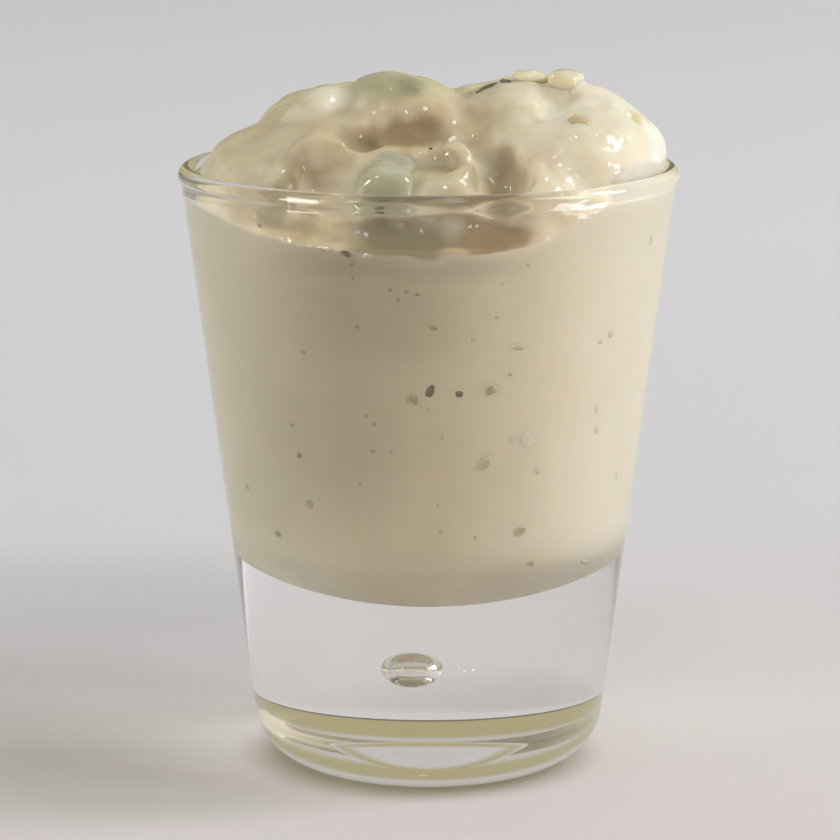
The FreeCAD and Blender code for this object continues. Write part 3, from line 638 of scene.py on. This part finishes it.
# angle from the front in degrees, + to the right; height; width; length; kind:
# d dark herb, h herb, p pepper, c caper, g gherkin, o orange peel of a caper,
# b and f faint pieces just under the skin
SPECKS = [
    (-19.8, 66.40, 1.19, 0.60, 'd'), (-18.3, 65.22, 0.59, 0.48, 'h'), (-18.4, 63.58, 0.47, 0.36, 'h'),
    (-9.3, 62.33, 0.56, 0.48, 'c'), (-5.4, 62.13, 0.56, 0.48, 'c'), (-2.8, 61.91, 0.56, 0.48, 'c'),
    (-7.4, 61.17, 0.45, 0.36, 'c'), (-17.8, 57.81, 0.47, 0.48, 'h'), (1.0, 57.90, 1.12, 0.60, 'c'),
    (10.9, 56.40, 0.57, 0.48, 'h'), (22.7, 55.30, 1.96, 0.60, 'g'), (52.5, 55.44, 1.17, 0.64, 'g'),
    (48.4, 54.73, 0.89, 0.50, 'g'), (-33.3, 54.31, 0.82, 0.61, 'f'), (-4.1, 49.31, 1.57, 1.21, 'c'),
    (0.3, 50.40, 0.80, 1.70, 'd'), (7.7, 50.00, 0.85, 0.75, 'p'), (-0.2, 48.25, 0.45, 0.48, 'h'),
    (15.8, 50.47, 1.64, 1.21, 'c'), (21.0, 52.13, 0.61, 0.49, 'h'), (-16.6, 47.20, 0.59, 0.49, 'h'),
    (-14.5, 46.29, 0.47, 0.49, 'h'), (3.2, 44.87, 0.45, 0.49, 'h'), (22.6, 44.26, 0.62, 0.62, 'h'),
    (26.8, 43.99, 1.5, 2.0, 'b'), (-37.7, 41.67, 0.80, 0.60, 'c'), (-39.1, 45.24, 0.60, 0.50, 'f'),
    (-15.1, 43.01, 0.58, 0.49, 'h'), (-10.1, 42.98, 0.57, 0.49, 'h'), (14.8, 41.44, 1.15, 2.15, 'o'),
    (31.0, 40.05, 0.81, 0.62, 'h'), (-35.8, 35.77, 1.14, 0.88, 'f'), (-62.5, 36.12, 1.04, 0.68, 'f'),
    (-19.2, 38.90, 0.48, 0.49, 'f'), (27.0, 32.87, 1.55, 1.13, 'c'), (3.2, 33.42, 0.45, 0.50, 'h'),
    (13.3, 32.56, 0.58, 0.50, 'h'), (2.3, 36.73, 0.45, 0.49, 'h'), (50.1, 46.42, 0.55, 1.15, 'f'),
    (51.5, 43.89, 0.57, 1.03, 'f'), (65.6, 37.36, 0.87, 1.24, 'f'), (-49.8, 31.24, 0.91, 0.65, 'f'),
    (66.6, 65.70, 0.93, 1.60, 'h'), (24.0, 64.96, 0.50, 0.36, 'h'), (17.6, 62.89, 0.47, 0.36, 'h'),
    (16.8, 59.02, 0.59, 0.48, 'h'), (31.2, 28.73, 1.08, 0.76, 'c'), (53.6, 27.50, 1.60, 0.53, 'h'),
    (-43.2, 68.91, 0.80, 0.61, 'h'),
]
seed = 12
for k in range(46):
    seed = (seed * 1103515245 + 12345) % 2147483648
    a, b, c = (seed >> 4) % 1000 / 1000, (seed >> 13) % 1000 / 1000, (seed >> 20) % 1000 / 1000
    SPECKS.append((78 + 204 * (k + a) / 46, 27 + 38 * b, 0.45 + 1.1 * c * c, 0.42 + 0.7 * c * a, "hcfhghdcfb"[k % 10]))

SHARE = {'c': (0.60, 0.58, 0.43), 'g': (0.80, 0.79, 0.62), 'h': (0.78, 0.77, 0.71), 'f': (0.86, 0.86, 0.83),
         'b': (0.91, 0.93, 0.97), 'o': (0.76, 0.74, 0.60)}
wall_parts, wall_colour_and_shade = {}, {}
for k, (ang, z, wide, tall, kind) in enumerate(SPECKS):
    a = math.radians(ang)
    out_dir = np.array((math.sin(a), -math.cos(a), 0.0))
    along = np.array((math.cos(a), math.sin(a), 0.0))
    up = np.array((out_dir[0] * math.sin(SLOPE_IN), out_dir[1] * math.sin(SLOPE_IN), math.cos(SLOPE_IN)))
    out_n = np.cross(along, up)
    out_n *= np.sign(out_n @ out_dir)
    spin = math.radians(-38 if kind == 'o' else (k * 47) % 50 - 25)
    u = along * math.cos(spin) + up * math.sin(spin)
    w = -along * math.sin(spin) + up * math.cos(spin)
    r = Q_FOOT + TAPER_IN * z + INTO_WALL
    thick = 0.06 if kind in "bf" else 0.09
    middle = np.array((0, 0, z)) + out_dir * (r - thick * 0.25)
    part = flake(middle, (u, w, out_n), (wide * 0.52, tall * 0.52, thick), k + 3, 0.16 if kind in "pbo" else 0.30)
    wall_parts.setdefault(kind, []).append(part)
    # bits under the skin take the sauce's painted colour, light and shade there, dimmed by the
    # share of their kind and fading out towards their edge
    if kind in SHARE:
        shows = ease((part[0] - middle) @ out_n / thick, 0.2, 0.95)[:, None]
        against = paint(part[0] - np.array((0, 0, RIM)), np.zeros_like(part[0]), np.ones(len(part[0]), bool))[1]
        # painted shade: dimmer on the left, and low down where the sauce curves away
        against = against * (1 - 0.17 * (1 - ease(ang, -32, 0))) * (1 - 0.5 * (1 - ease(z, 25, 34)))
        wall_colour_and_shade.setdefault(kind, []).append(against * (1 - shows * (1 - np.array(SHARE[kind]))))

# bits on the free surface, found by dropping onto the sauce along a direction
def drop(x, y, z, toward, reach=6.0):
    """Moves a point along a direction until it meets the sauce."""
    t = np.linspace(-reach, reach, 241)
    line_p = np.array((x, y, z)) + t[:, None] * np.array(toward)
    d = np.minimum(sauce_distance(line_p), np.minimum(prism(line_p, FRONT_CHUNK), prism(line_p, TOP_CHUNK)))
    k = int(np.argmax(d < 0))
    return line_p[k] if d[k] < 0 else np.array((x, y, z))


def lying(centre, half, spin, tip, seed, toward, sink=0.0, lumps=0.2, steps=(18, 11)):
    c = drop(*centre, toward)
    n = slope_of(sauce_distance, c[None])[0]
    n = n / np.linalg.norm(n)
    ref = np.array((1.0, 0, 0)) if abs(n[0]) < 0.8 else np.array((0, 1.0, 0))
    u = np.cross(ref, n)
    u /= np.linalg.norm(u)
    w = np.cross(n, u)
    a, b = math.radians(spin), math.radians(tip)
    u, w = u * math.cos(a) + w * math.sin(a), -u * math.sin(a) + w * math.cos(a)
    w, n2 = w * math.cos(b) + n * math.sin(b), -w * math.sin(b) + n * math.cos(b)
    c = c - n * sink
    c[2] += RIM
    return flake(c, (u, w, n2), half, seed, lumps, steps)


DOWN, BACK = (0.0, 0.05, -1.0), (0.0, 0.98, -0.19)
herb_on_top = [
    lying((6.8, -3.6, 11.0), (1.5, 0.30, 0.12), 84, 12, 41, DOWN, -0.04),
    lying((9.1, -3.2, 11.0), (0.75, 0.42, 0.26), 80, 10, 42, DOWN, -0.10),
    lying((0.2, -17.6, 4.0), (0.26, 0.20, 0.08), 20, 0, 43, BACK, 0.0),
    lying((-5.6, -25.2, -0.6), (0.62, 0.42, 0.14), 80, 0, 44, BACK, 0.0),
    lying((-8.0, 14.0, 9.0), (0.8, 0.4, 0.12), 15, 0, 47, DOWN, 0.0),
    lying((13.0, 16.0, 7.0), (0.9, 0.36, 0.12), 70, 0, 48, DOWN, 0.0),
]
pale_on_top = [
    lying((11.9, -2.6, 11.0), (2.1, 1.2, 0.95), 94, 8, 51, DOWN, -0.28),
    lying((-9.0, 8.0, 9.0), (2.2, 1.6, 0.9), 30, 10, 53, DOWN, 0.3),
    lying((9.0, 10.0, 9.6), (1.8, 1.5, 0.9), 70, -8, 54, DOWN, 0.3),
    lying((2.0, 19.0, 5.0), (2.4, 1.7, 1.0), 15, 6, 55, (0, -0.7, -0.7), 0.3),
]
oval_on_top = [lying((17.3, -12.0, 6.4), (1.75, 1.30, 1.0), 66, 0, 61, BACK, 0.72, 0.10)]
cube_field = lambda p: prism(p, CUBE) - 0.0
cube_v, cube_q = surface_net(cube_field, (13.2, -6.8, 7.6), (19.4, -0.8, 13.1), 0.2)
cube_v = onto(cube_field, cube_v)
cube_v[:, 2] += RIM
herbs = joined("herb_flecks", wall_parts["d"] + wall_parts["p"] + herb_on_top)



def under_skin(name, kinds):
    ob = joined(name, [q for kind in kinds for q in wall_parts[kind]])
    values = np.concatenate([q for kind in kinds for q in wall_colour_and_shade[kind]])
    layer = ob.data.color_attributes.new(name="colour_and_shade_at_glass", type="FLOAT_COLOR", domain="POINT")
    layer.data.foreach_set("color", np.concatenate([values, np.ones((len(values), 1))], 1).ravel())
    return ob


faint = under_skin("pale_specks", "bf")
capers = under_skin("caper_specks", "cgo")
wall_bits = under_skin("specks_under_sauce", "h")
pale_bits = joined("onion_bits", pale_on_top + [(cube_v, [tuple(q) for q in cube_q])])
oval = joined("caper_half", oval_on_top)

# ------------------------------------------------------------------- materials
def material(name):
    m = bpy.data.materials.new(name)
    m.use_nodes = True
    nt = m.node_tree
    nt.nodes.clear()
    out = nt.nodes.new("ShaderNodeOutputMaterial")
    bsdf = nt.nodes.new("ShaderNodeBsdfPrincipled")
    nt.links.new(bsdf.outputs[0], out.inputs[0])
    return m, nt, bsdf, out


def noise(nt, scale, detail=3.0, rough=0.5, where=None):
    n = nt.nodes.new("ShaderNodeTexNoise")
    n.inputs["Scale"].default_value = scale
    n.inputs["Detail"].default_value = detail
    n.inputs["Roughness"].default_value = rough
    tc = nt.nodes.new("ShaderNodeTexCoord")
    nt.links.new(tc.outputs["Object"], n.inputs["Vector"])
    return n


def ramp(nt, source, stops):
    r = nt.nodes.new("ShaderNodeValToRGB")
    while len(r.color_ramp.elements) > 1:
        r.color_ramp.elements.remove(r.color_ramp.elements[-1])
    r.color_ramp.elements[0].position = stops[0][0]
    r.color_ramp.elements[0].color = (*stops[0][1], 1)
    for pos, col in stops[1:]:
        e = r.color_ramp.elements.new(pos)
        e.color = (*col, 1)
    nt.links.new(source, r.inputs[0])
    return r


def bump(nt, bsdf, source, strength, distance):
    b = nt.nodes.new("ShaderNodeBump")
    b.inputs["Strength"].default_value = strength
    b.inputs["Distance"].default_value = distance
    nt.links.new(source, b.inputs["Height"])
    nt.links.new(b.outputs[0], bsdf.inputs["Normal"])
    return b


def glass_material():
    m, nt, bsdf, out = material("clear_glass")
    bsdf.inputs["Base Color"].default_value = (0.957, 0.933, 0.918, 1)
    bsdf.inputs["Transmission Weight"].default_value = 1.0
    bsdf.inputs["Roughness"].default_value = 0.0
    bsdf.inputs["IOR"].default_value = 1.5
    wave = noise(nt, 55.0, 1.0)
    bump(nt, bsdf, wave.outputs[0], 0.04, 0.0004)
    # light goes straight through for shadows, less of it where it grazes
    through = nt.nodes.new("ShaderNodeBsdfTransparent")
    face = nt.nodes.new("ShaderNodeLayerWeight")
    face.inputs[0].default_value = 0.5
    dim = ramp(nt, face.outputs["Facing"], [(0.25, (0.93, 0.935, 0.92)), (0.62, (0.66, 0.65, 0.57)), (1.0, (0.42, 0.40, 0.32))])
    nt.links.new(dim.outputs[0], through.inputs[0])
    path = nt.nodes.new("ShaderNodeLightPath")
    mix = nt.nodes.new("ShaderNodeMixShader")
    nt.links.new(path.outputs["Is Shadow Ray"], mix.inputs[0])
    nt.links.new(bsdf.outputs[0], mix.inputs[1])
    nt.links.new(through.outputs[0], mix.inputs[2])
    nt.links.new(mix.outputs[0], out.inputs[0])
    return m


def sauce_material(name, glossy):
    m, nt, bsdf, out = material(name)
    # one painted colour, with its painted light and shade, on the free surface, the other from the line where it meets
    # the glass downwards; the line is drawn from the wall's own cone
    colour_and_shade_nodes = []
    for layer_name in ("colour_and_shade", "colour_and_shade_at_glass"):
        t = nt.nodes.new("ShaderNodeAttribute")
        t.attribute_name = layer_name
        colour_and_shade_nodes.append(t)
    where = nt.nodes.new("ShaderNodeTexCoord")
    flat = nt.nodes.new("ShaderNodeVectorMath")
    flat.operation = "MULTIPLY"
    flat.inputs[1].default_value = (1, 1, 0)
    nt.links.new(where.outputs["Object"], flat.inputs[0])
    radius = nt.nodes.new("ShaderNodeVectorMath")
    radius.operation = "LENGTH"
    nt.links.new(flat.outputs[0], radius.inputs[0])
    height = nt.nodes.new("ShaderNodeSeparateXYZ")
    nt.links.new(where.outputs["Object"], height.inputs[0])
    lean = nt.nodes.new("ShaderNodeMath")
    lean.operation = "MULTIPLY_ADD"
    lean.inputs[1].default_value = -TAPER_IN
    nt.links.new(height.outputs["Z"], lean.inputs[0])
    nt.links.new(radius.outputs["Value"], lean.inputs[2])
    near_wall = nt.nodes.new("ShaderNodeMapRange")
    near_wall.interpolation_type = "SMOOTHSTEP"
    near_wall.inputs["From Min"].default_value = (Q_FOOT - 0.14) * MM
    near_wall.inputs["From Max"].default_value = (Q_FOOT + 0.02) * MM
    nt.links.new(lean.outputs[0], near_wall.inputs["Value"])
    down = nt.nodes.new("ShaderNodeMapRange")
    down.inputs["From Min"].default_value = 0.0610
    down.inputs["From Max"].default_value = 0.0605
    nt.links.new(height.outputs["Z"], down.inputs["Value"])
    at_glass = nt.nodes.new("ShaderNodeMath")
    at_glass.operation = "MAXIMUM"
    nt.links.new(near_wall.outputs[0], at_glass.inputs[0])
    nt.links.new(down.outputs[0], at_glass.inputs[1])
    colour_and_shade_in = nt.nodes.new("ShaderNodeMix")
    colour_and_shade_in.data_type = "RGBA"
    nt.links.new(at_glass.outputs[0], colour_and_shade_in.inputs[0])
    nt.links.new(colour_and_shade_nodes[0].outputs["Color"], colour_and_shade_in.inputs[6])
    nt.links.new(colour_and_shade_nodes[1].outputs["Color"], colour_and_shade_in.inputs[7])
    mottle = noise(nt, 170.0 if glossy else 120.0, 4.0, 0.55)
    lows, highs = ((0.90, 0.88, 0.83), (1.05, 1.06, 1.09)) if glossy else ((0.975, 0.97, 0.955), (1.015, 1.02, 1.03))
    shade = ramp(nt, mottle.outputs[0], [(0.32, lows), (0.52, (1.0, 1.0, 1.0)), (0.72, highs)])
    mul = nt.nodes.new("ShaderNodeMix")
    mul.data_type = "RGBA"
    mul.blend_type = "MULTIPLY"
    mul.inputs[0].default_value = 1.0
    nt.links.new(colour_and_shade_in.outputs[2], mul.inputs[6])
    nt.links.new(shade.outputs[0], mul.inputs[7])
    nt.links.new(mul.outputs[2], bsdf.inputs["Base Color"])
    bsdf.inputs["Subsurface Weight"].default_value = 0.8
    bsdf.inputs["Subsurface Radius"].default_value = (1.0, 0.72, 0.40)
    bsdf.inputs["Subsurface Scale"].default_value = 0.0018 if glossy else 0.0022
    if glossy:
        bsdf.inputs["Roughness"].default_value = 0.5
        bsdf.inputs["IOR"].default_value = 1.33
        bsdf.inputs["Coat Roughness"].default_value = 0.025
        bsdf.inputs["Coat IOR"].default_value = 1.55
        bsdf.inputs["Specular IOR Level"].default_value = 0.3
        wet = noise(nt, 260.0, 1.0, 0.4)
        bump(nt, bsdf, wet.outputs[0], 0.15, 0.0005)
        # small ripples in the wet skin, calmer where it turns away
        facing = nt.nodes.new("ShaderNodeLayerWeight")
        facing.inputs[0].default_value = 0.5
        calm = ramp(nt, facing.outputs["Facing"], [(0.38, (1, 1, 1)), (0.62, (0.0, 0.0, 0.0))])
        fine = noise(nt, 640.0, 0.0, 0.5)
        ripple = nt.nodes.new("ShaderNodeBump")
        ripple.inputs["Distance"].default_value = 0.00058
        nt.links.new(calm.outputs[0], ripple.inputs["Strength"])
        nt.links.new(fine.outputs[0], ripple.inputs["Height"])
        nt.links.new(ripple.outputs[0], bsdf.inputs["Coat Normal"])
        thin = ramp(nt, facing.outputs["Facing"], [(0.45, (1, 1, 1)), (0.85, (0.35, 0.35, 0.35))])
        nt.links.new(thin.outputs[0], bsdf.inputs["Coat Weight"])
    else:
        bsdf.inputs["Roughness"].default_value = 0.9
        bsdf.inputs["Specular IOR Level"].default_value = 0.0
    return m


def bit_material(name, stops, scale, rough, sss=0.0, coat=0.6):
    m, nt, bsdf, out = material(name)
    grain = noise(nt, scale, 3.0)
    col = ramp(nt, grain.outputs[0], stops)
    nt.links.new(col.outputs[0], bsdf.inputs["Base Color"])
    bsdf.inputs["Roughness"].default_value = rough
    if sss:
        bsdf.inputs["Subsurface Weight"].default_value = sss
        bsdf.inputs["Subsurface Radius"].default_value = (1.0, 0.9, 0.55)
        bsdf.inputs["Subsurface Scale"].default_value = 0.0015
    if coat:
        bsdf.inputs["Coat Weight"].default_value = coat
        bsdf.inputs["Coat Roughness"].default_value = 0.04
    return m, nt, bsdf


mat_glass = glass_material()
mat_sauce = sauce_material("tartar_sauce_gloss", True)
mat_wall = sauce_material("tartar_sauce_at_glass", False)
glass.data.materials.append(mat_glass)
sauce.data.materials.append(mat_sauce)
sauce.data.materials.append(mat_wall)
sauce.data.polygons.foreach_set("material_index", against_glass)

mat_gherkin, nt, bsdf = bit_material("gherkin_flesh", [(0.32, (0.34, 0.33, 0.19)), (0.52, (0.46, 0.44, 0.28)),
                                                       (0.74, (0.58, 0.56, 0.39))], 230.0, 0.14, 0.75, 0.9)
bump(nt, bsdf, noise(nt, 600.0, 3.0).outputs[0], 0.3, 0.0003)
mat_skin, nt, bsdf = bit_material("gherkin_under_sauce", [(0.32, (0.34, 0.35, 0.20)), (0.52, (0.44, 0.44, 0.27)),
                                                          (0.74, (0.54, 0.52, 0.34))], 200.0, 0.16, 0.75, 0.9)
mat_herb, nt, bsdf = bit_material("herb_leaf", [(0.35, (0.11, 0.10, 0.06)), (0.65, (0.23, 0.21, 0.13))], 900.0, 0.5, 0.0, 0.25)


def speck_material(name, lows, highs, scale):
    m, nt, bsdf, out = material(name)
    t = nt.nodes.new("ShaderNodeAttribute")
    t.attribute_name = "colour_and_shade_at_glass"
    shade = ramp(nt, noise(nt, scale, 3.0).outputs[0], [(0.35, lows), (0.65, highs)])
    mul = nt.nodes.new("ShaderNodeMix")
    mul.data_type = "RGBA"
    mul.blend_type = "MULTIPLY"
    mul.inputs[0].default_value = 1.0
    nt.links.new(t.outputs["Color"], mul.inputs[6])
    nt.links.new(shade.outputs[0], mul.inputs[7])
    nt.links.new(mul.outputs[2], bsdf.inputs["Base Color"])
    bsdf.inputs["Roughness"].default_value = 0.9
    bsdf.inputs["Specular IOR Level"].default_value = 0.0
    return m


mat_caper = speck_material("caper_green_brown", (0.93, 0.93, 0.90), (1.04, 1.04, 1.06), 700.0)
mat_pale = speck_material("specks_seen_through_sauce", (0.94, 0.95, 0.94), (1.04, 1.04, 1.05), 700.0)
mat_faint = speck_material("pale_piece_under_sauce", (0.97, 0.97, 0.97), (1.02, 1.02, 1.03), 700.0)
mat_onion, nt, bsdf = bit_material("onion_dice", [(0.35, (0.74, 0.65, 0.40)), (0.65, (0.88, 0.80, 0.58))],
                                   300.0, 0.18, 0.7, 0.8)
mat_oval, nt, bsdf = bit_material("caper_flesh", [(0.35, (0.58, 0.43, 0.19)), (0.65, (0.74, 0.60, 0.34))],
                                  420.0, 0.2, 0.6, 0.7)
for ob, mat in ((front_piece, mat_gherkin), (top_piece, mat_skin), (herbs, mat_herb), (capers, mat_caper),
                (wall_bits, mat_pale), (faint, mat_faint), (pale_bits, mat_onion), (oval, mat_oval)):
    ob.data.materials.append(mat)

# ------------------------------------------------------------------------ ride
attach(glass, "root")
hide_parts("glass")
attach(sauce, "root")
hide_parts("sauce")
for ob, node in ((front_piece, "gherkin_front"), (top_piece, "gherkin_top")):
    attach(ob, "root")
    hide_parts(node)
for ob in (herbs, capers, wall_bits, faint, pale_bits, oval):
    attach(ob, "root")

# ----------------------------------------------------------------------- stage
# a wide plain floor, warm near the camera and neutral further back
bpy.ops.mesh.primitive_circle_add(vertices=128, radius=6.0, fill_type="NGON", location=(0, 0, 0))
floor = bpy.context.object
floor.name = "studio_floor"
mf, nt, bsdf, out = material("studio_grey")
tc = nt.nodes.new("ShaderNodeTexCoord")
sep = nt.nodes.new("ShaderNodeSeparateXYZ")
nt.links.new(tc.outputs["Object"], sep.inputs[0])
near = nt.nodes.new("ShaderNodeMapRange")
near.inputs["From Min"].default_value = -0.12
near.inputs["From Max"].default_value = 0.45
nt.links.new(sep.outputs["Y"], near.inputs["Value"])
fcol = ramp(nt, near.outputs[0], [(0.0, (0.78, 0.715, 0.69)), (0.5, (0.765, 0.755, 0.76)), (1.0, (0.80, 0.80, 0.815))])
# painted shadow: the floor darkens close to the foot, where the thick base takes its light
gap = nt.nodes.new("ShaderNodeVectorMath")
gap.operation = "DISTANCE"
gap.inputs[1].default_value = (-0.0010, 0.0005, 0)
nt.links.new(tc.outputs["Object"], gap.inputs[0])
ring = nt.nodes.new("ShaderNodeMapRange")
ring.interpolation_type = "SMOOTHSTEP"
ring.inputs["From Min"].default_value = 0.0150
ring.inputs["From Max"].default_value = 0.0236
nt.links.new(gap.outputs["Value"], ring.inputs["Value"])
# and painted soft shade on the left, away from the window
shaded = fcol.outputs[0]
for scale, shift, dark in (((26.0, 40.0, 0), (0.90, 0.44, 0), (0.78, 0.785, 0.77)), ((10.0, 17.0, 0), (0.52, -1.12, 0), (0.80, 0.81, 0.82))):
    aside = nt.nodes.new("ShaderNodeVectorMath")
    aside.operation = "MULTIPLY_ADD"
    aside.inputs[1].default_value = scale
    aside.inputs[2].default_value = shift
    nt.links.new(tc.outputs["Object"], aside.inputs[0])
    spread = nt.nodes.new("ShaderNodeVectorMath")
    spread.operation = "LENGTH"
    nt.links.new(aside.outputs[0], spread.inputs[0])
    tone = ramp(nt, spread.outputs["Value"], [(0.0, dark), (0.3, tuple(0.8 * c + 0.2 for c in dark)), (1.0, (1.0, 1.0, 1.0))])
    tone.color_ramp.interpolation = "EASE"
    shade_mix = nt.nodes.new("ShaderNodeMix")
    shade_mix.data_type = "RGBA"
    shade_mix.blend_type = "MULTIPLY"
    shade_mix.inputs[0].default_value = 1.0
    nt.links.new(shaded, shade_mix.inputs[6])
    nt.links.new(tone.outputs[0], shade_mix.inputs[7])
    shaded = shade_mix.outputs[2]
# the painted shadow's dark colour close to the foot
under = nt.nodes.new("ShaderNodeMix")
under.data_type = "RGBA"
under.inputs[6].default_value = (0.30, 0.27, 0.19, 1)
nt.links.new(ring.outputs[0], under.inputs[0])
nt.links.new(shaded, under.inputs[7])
nt.links.new(under.outputs[2], bsdf.inputs["Base Color"])
bsdf.inputs["Roughness"].default_value = 0.8
bsdf.inputs["Specular IOR Level"].default_value = 0.15
floor.data.materials.append(mf)

world = bpy.data.worlds.new("studio")
SCENE.world = world
world.use_nodes = True
wt = world.node_tree
bg = wt.nodes["Background"]
bg.inputs[1].default_value = 0.40
# a pale room whose far side is olive just above the floor, with a dark line
# where it meets the floor
wc = wt.nodes.new("ShaderNodeTexCoord")
ws = wt.nodes.new("ShaderNodeSeparateXYZ")
wt.links.new(wc.outputs["Generated"], ws.inputs[0])
wr = ramp(wt, ws.outputs["Z"], [(0.0, (0.40, 0.37, 0.30)), (0.012, (0.42, 0.385, 0.31)), (0.02, (1.04, 0.95, 0.50)),
                                (0.26, (1.04, 0.94, 0.53)), (0.38, (1.42, 1.39, 1.36)), (1.0, (1.22, 1.20, 1.17))])
wy = wt.nodes.new("ShaderNodeMapRange")
wy.inputs["From Min"].default_value = 0.15
wy.inputs["From Max"].default_value = 0.55
wt.links.new(ws.outputs["Y"], wy.inputs["Value"])
wm = wt.nodes.new("ShaderNodeMix")
wm.data_type = "RGBA"
wm.inputs[6].default_value = (1.02, 1.0, 0.97, 1)
wt.links.new(wy.outputs[0], wm.inputs[0])
wt.links.new(wr.outputs[0], wm.inputs[7])
wt.links.new(wm.outputs[2], bg.inputs[0])


def area(name, azimuth, elevation, away, size, level, colour=(1, 1, 1), slide=0.0, target=(0, 0, 45)):
    """A soft light.  Azimuth 0 is the front and 90 the right; away and size
    in metres; level is the brightness it gives a white card that faces it."""
    a, e = math.radians(azimuth), math.radians(elevation)
    d = Vector((math.sin(a) * math.cos(e), -math.cos(a) * math.cos(e), math.sin(e)))
    lamp = bpy.data.lights.new(name, "AREA")
    lamp.shape = "RECTANGLE"
    lamp.size, lamp.size_y = size
    lamp.energy = level * math.pi ** 2 * away ** 2
    lamp.color = colour
    ob = bpy.data.objects.new(name, lamp)
    SCENE.collection.objects.link(ob)
    ob.rotation_euler = d.to_track_quat("Z", "Y").to_euler()
    side = Vector((math.cos(a), math.sin(a), 0))
    ob.location = Vector(target) * MM + d * away + side * slide
    return ob


# a window on the right in two panes, and a weak fill low on the left behind
area("window_a", 84, 30, 3.0, (0.95, 1.7), 0.385, (0.98, 1.0, 1.05), slide=-0.58)
area("window_b", 84, 30, 3.0, (0.95, 1.7), 0.385, (0.98, 1.0, 1.05), slide=0.58)
area("fill_left", 298, 8, 3.0, (0.9, 0.55), 0.29, (1.0, 0.99, 0.96))
area("far_pane", 322, 36, 3.0, (0.26, 0.44), 0.04, (0.98, 1.0, 1.04))
area("high_pane", 20, 52, 3.0, (0.22, 0.36), 0.022, (1.0, 1.0, 1.0))

# ---------------------------------------------------------------------- camera
cam_data = bpy.data.cameras.new("camera")
cam = bpy.data.objects.new("camera", cam_data)
SCENE.collection.objects.link(cam)
cam_data.sensor_width = 36.0
cam_data.lens = 162.6
cam_data.clip_start, cam_data.clip_end = 0.02, 20.0
cam.location = Vector((-1.05, -453.3, 131.05)) * MM
cam.rotation_euler = (math.radians(90 - 11.133), 0, 0)
SCENE.camera = cam
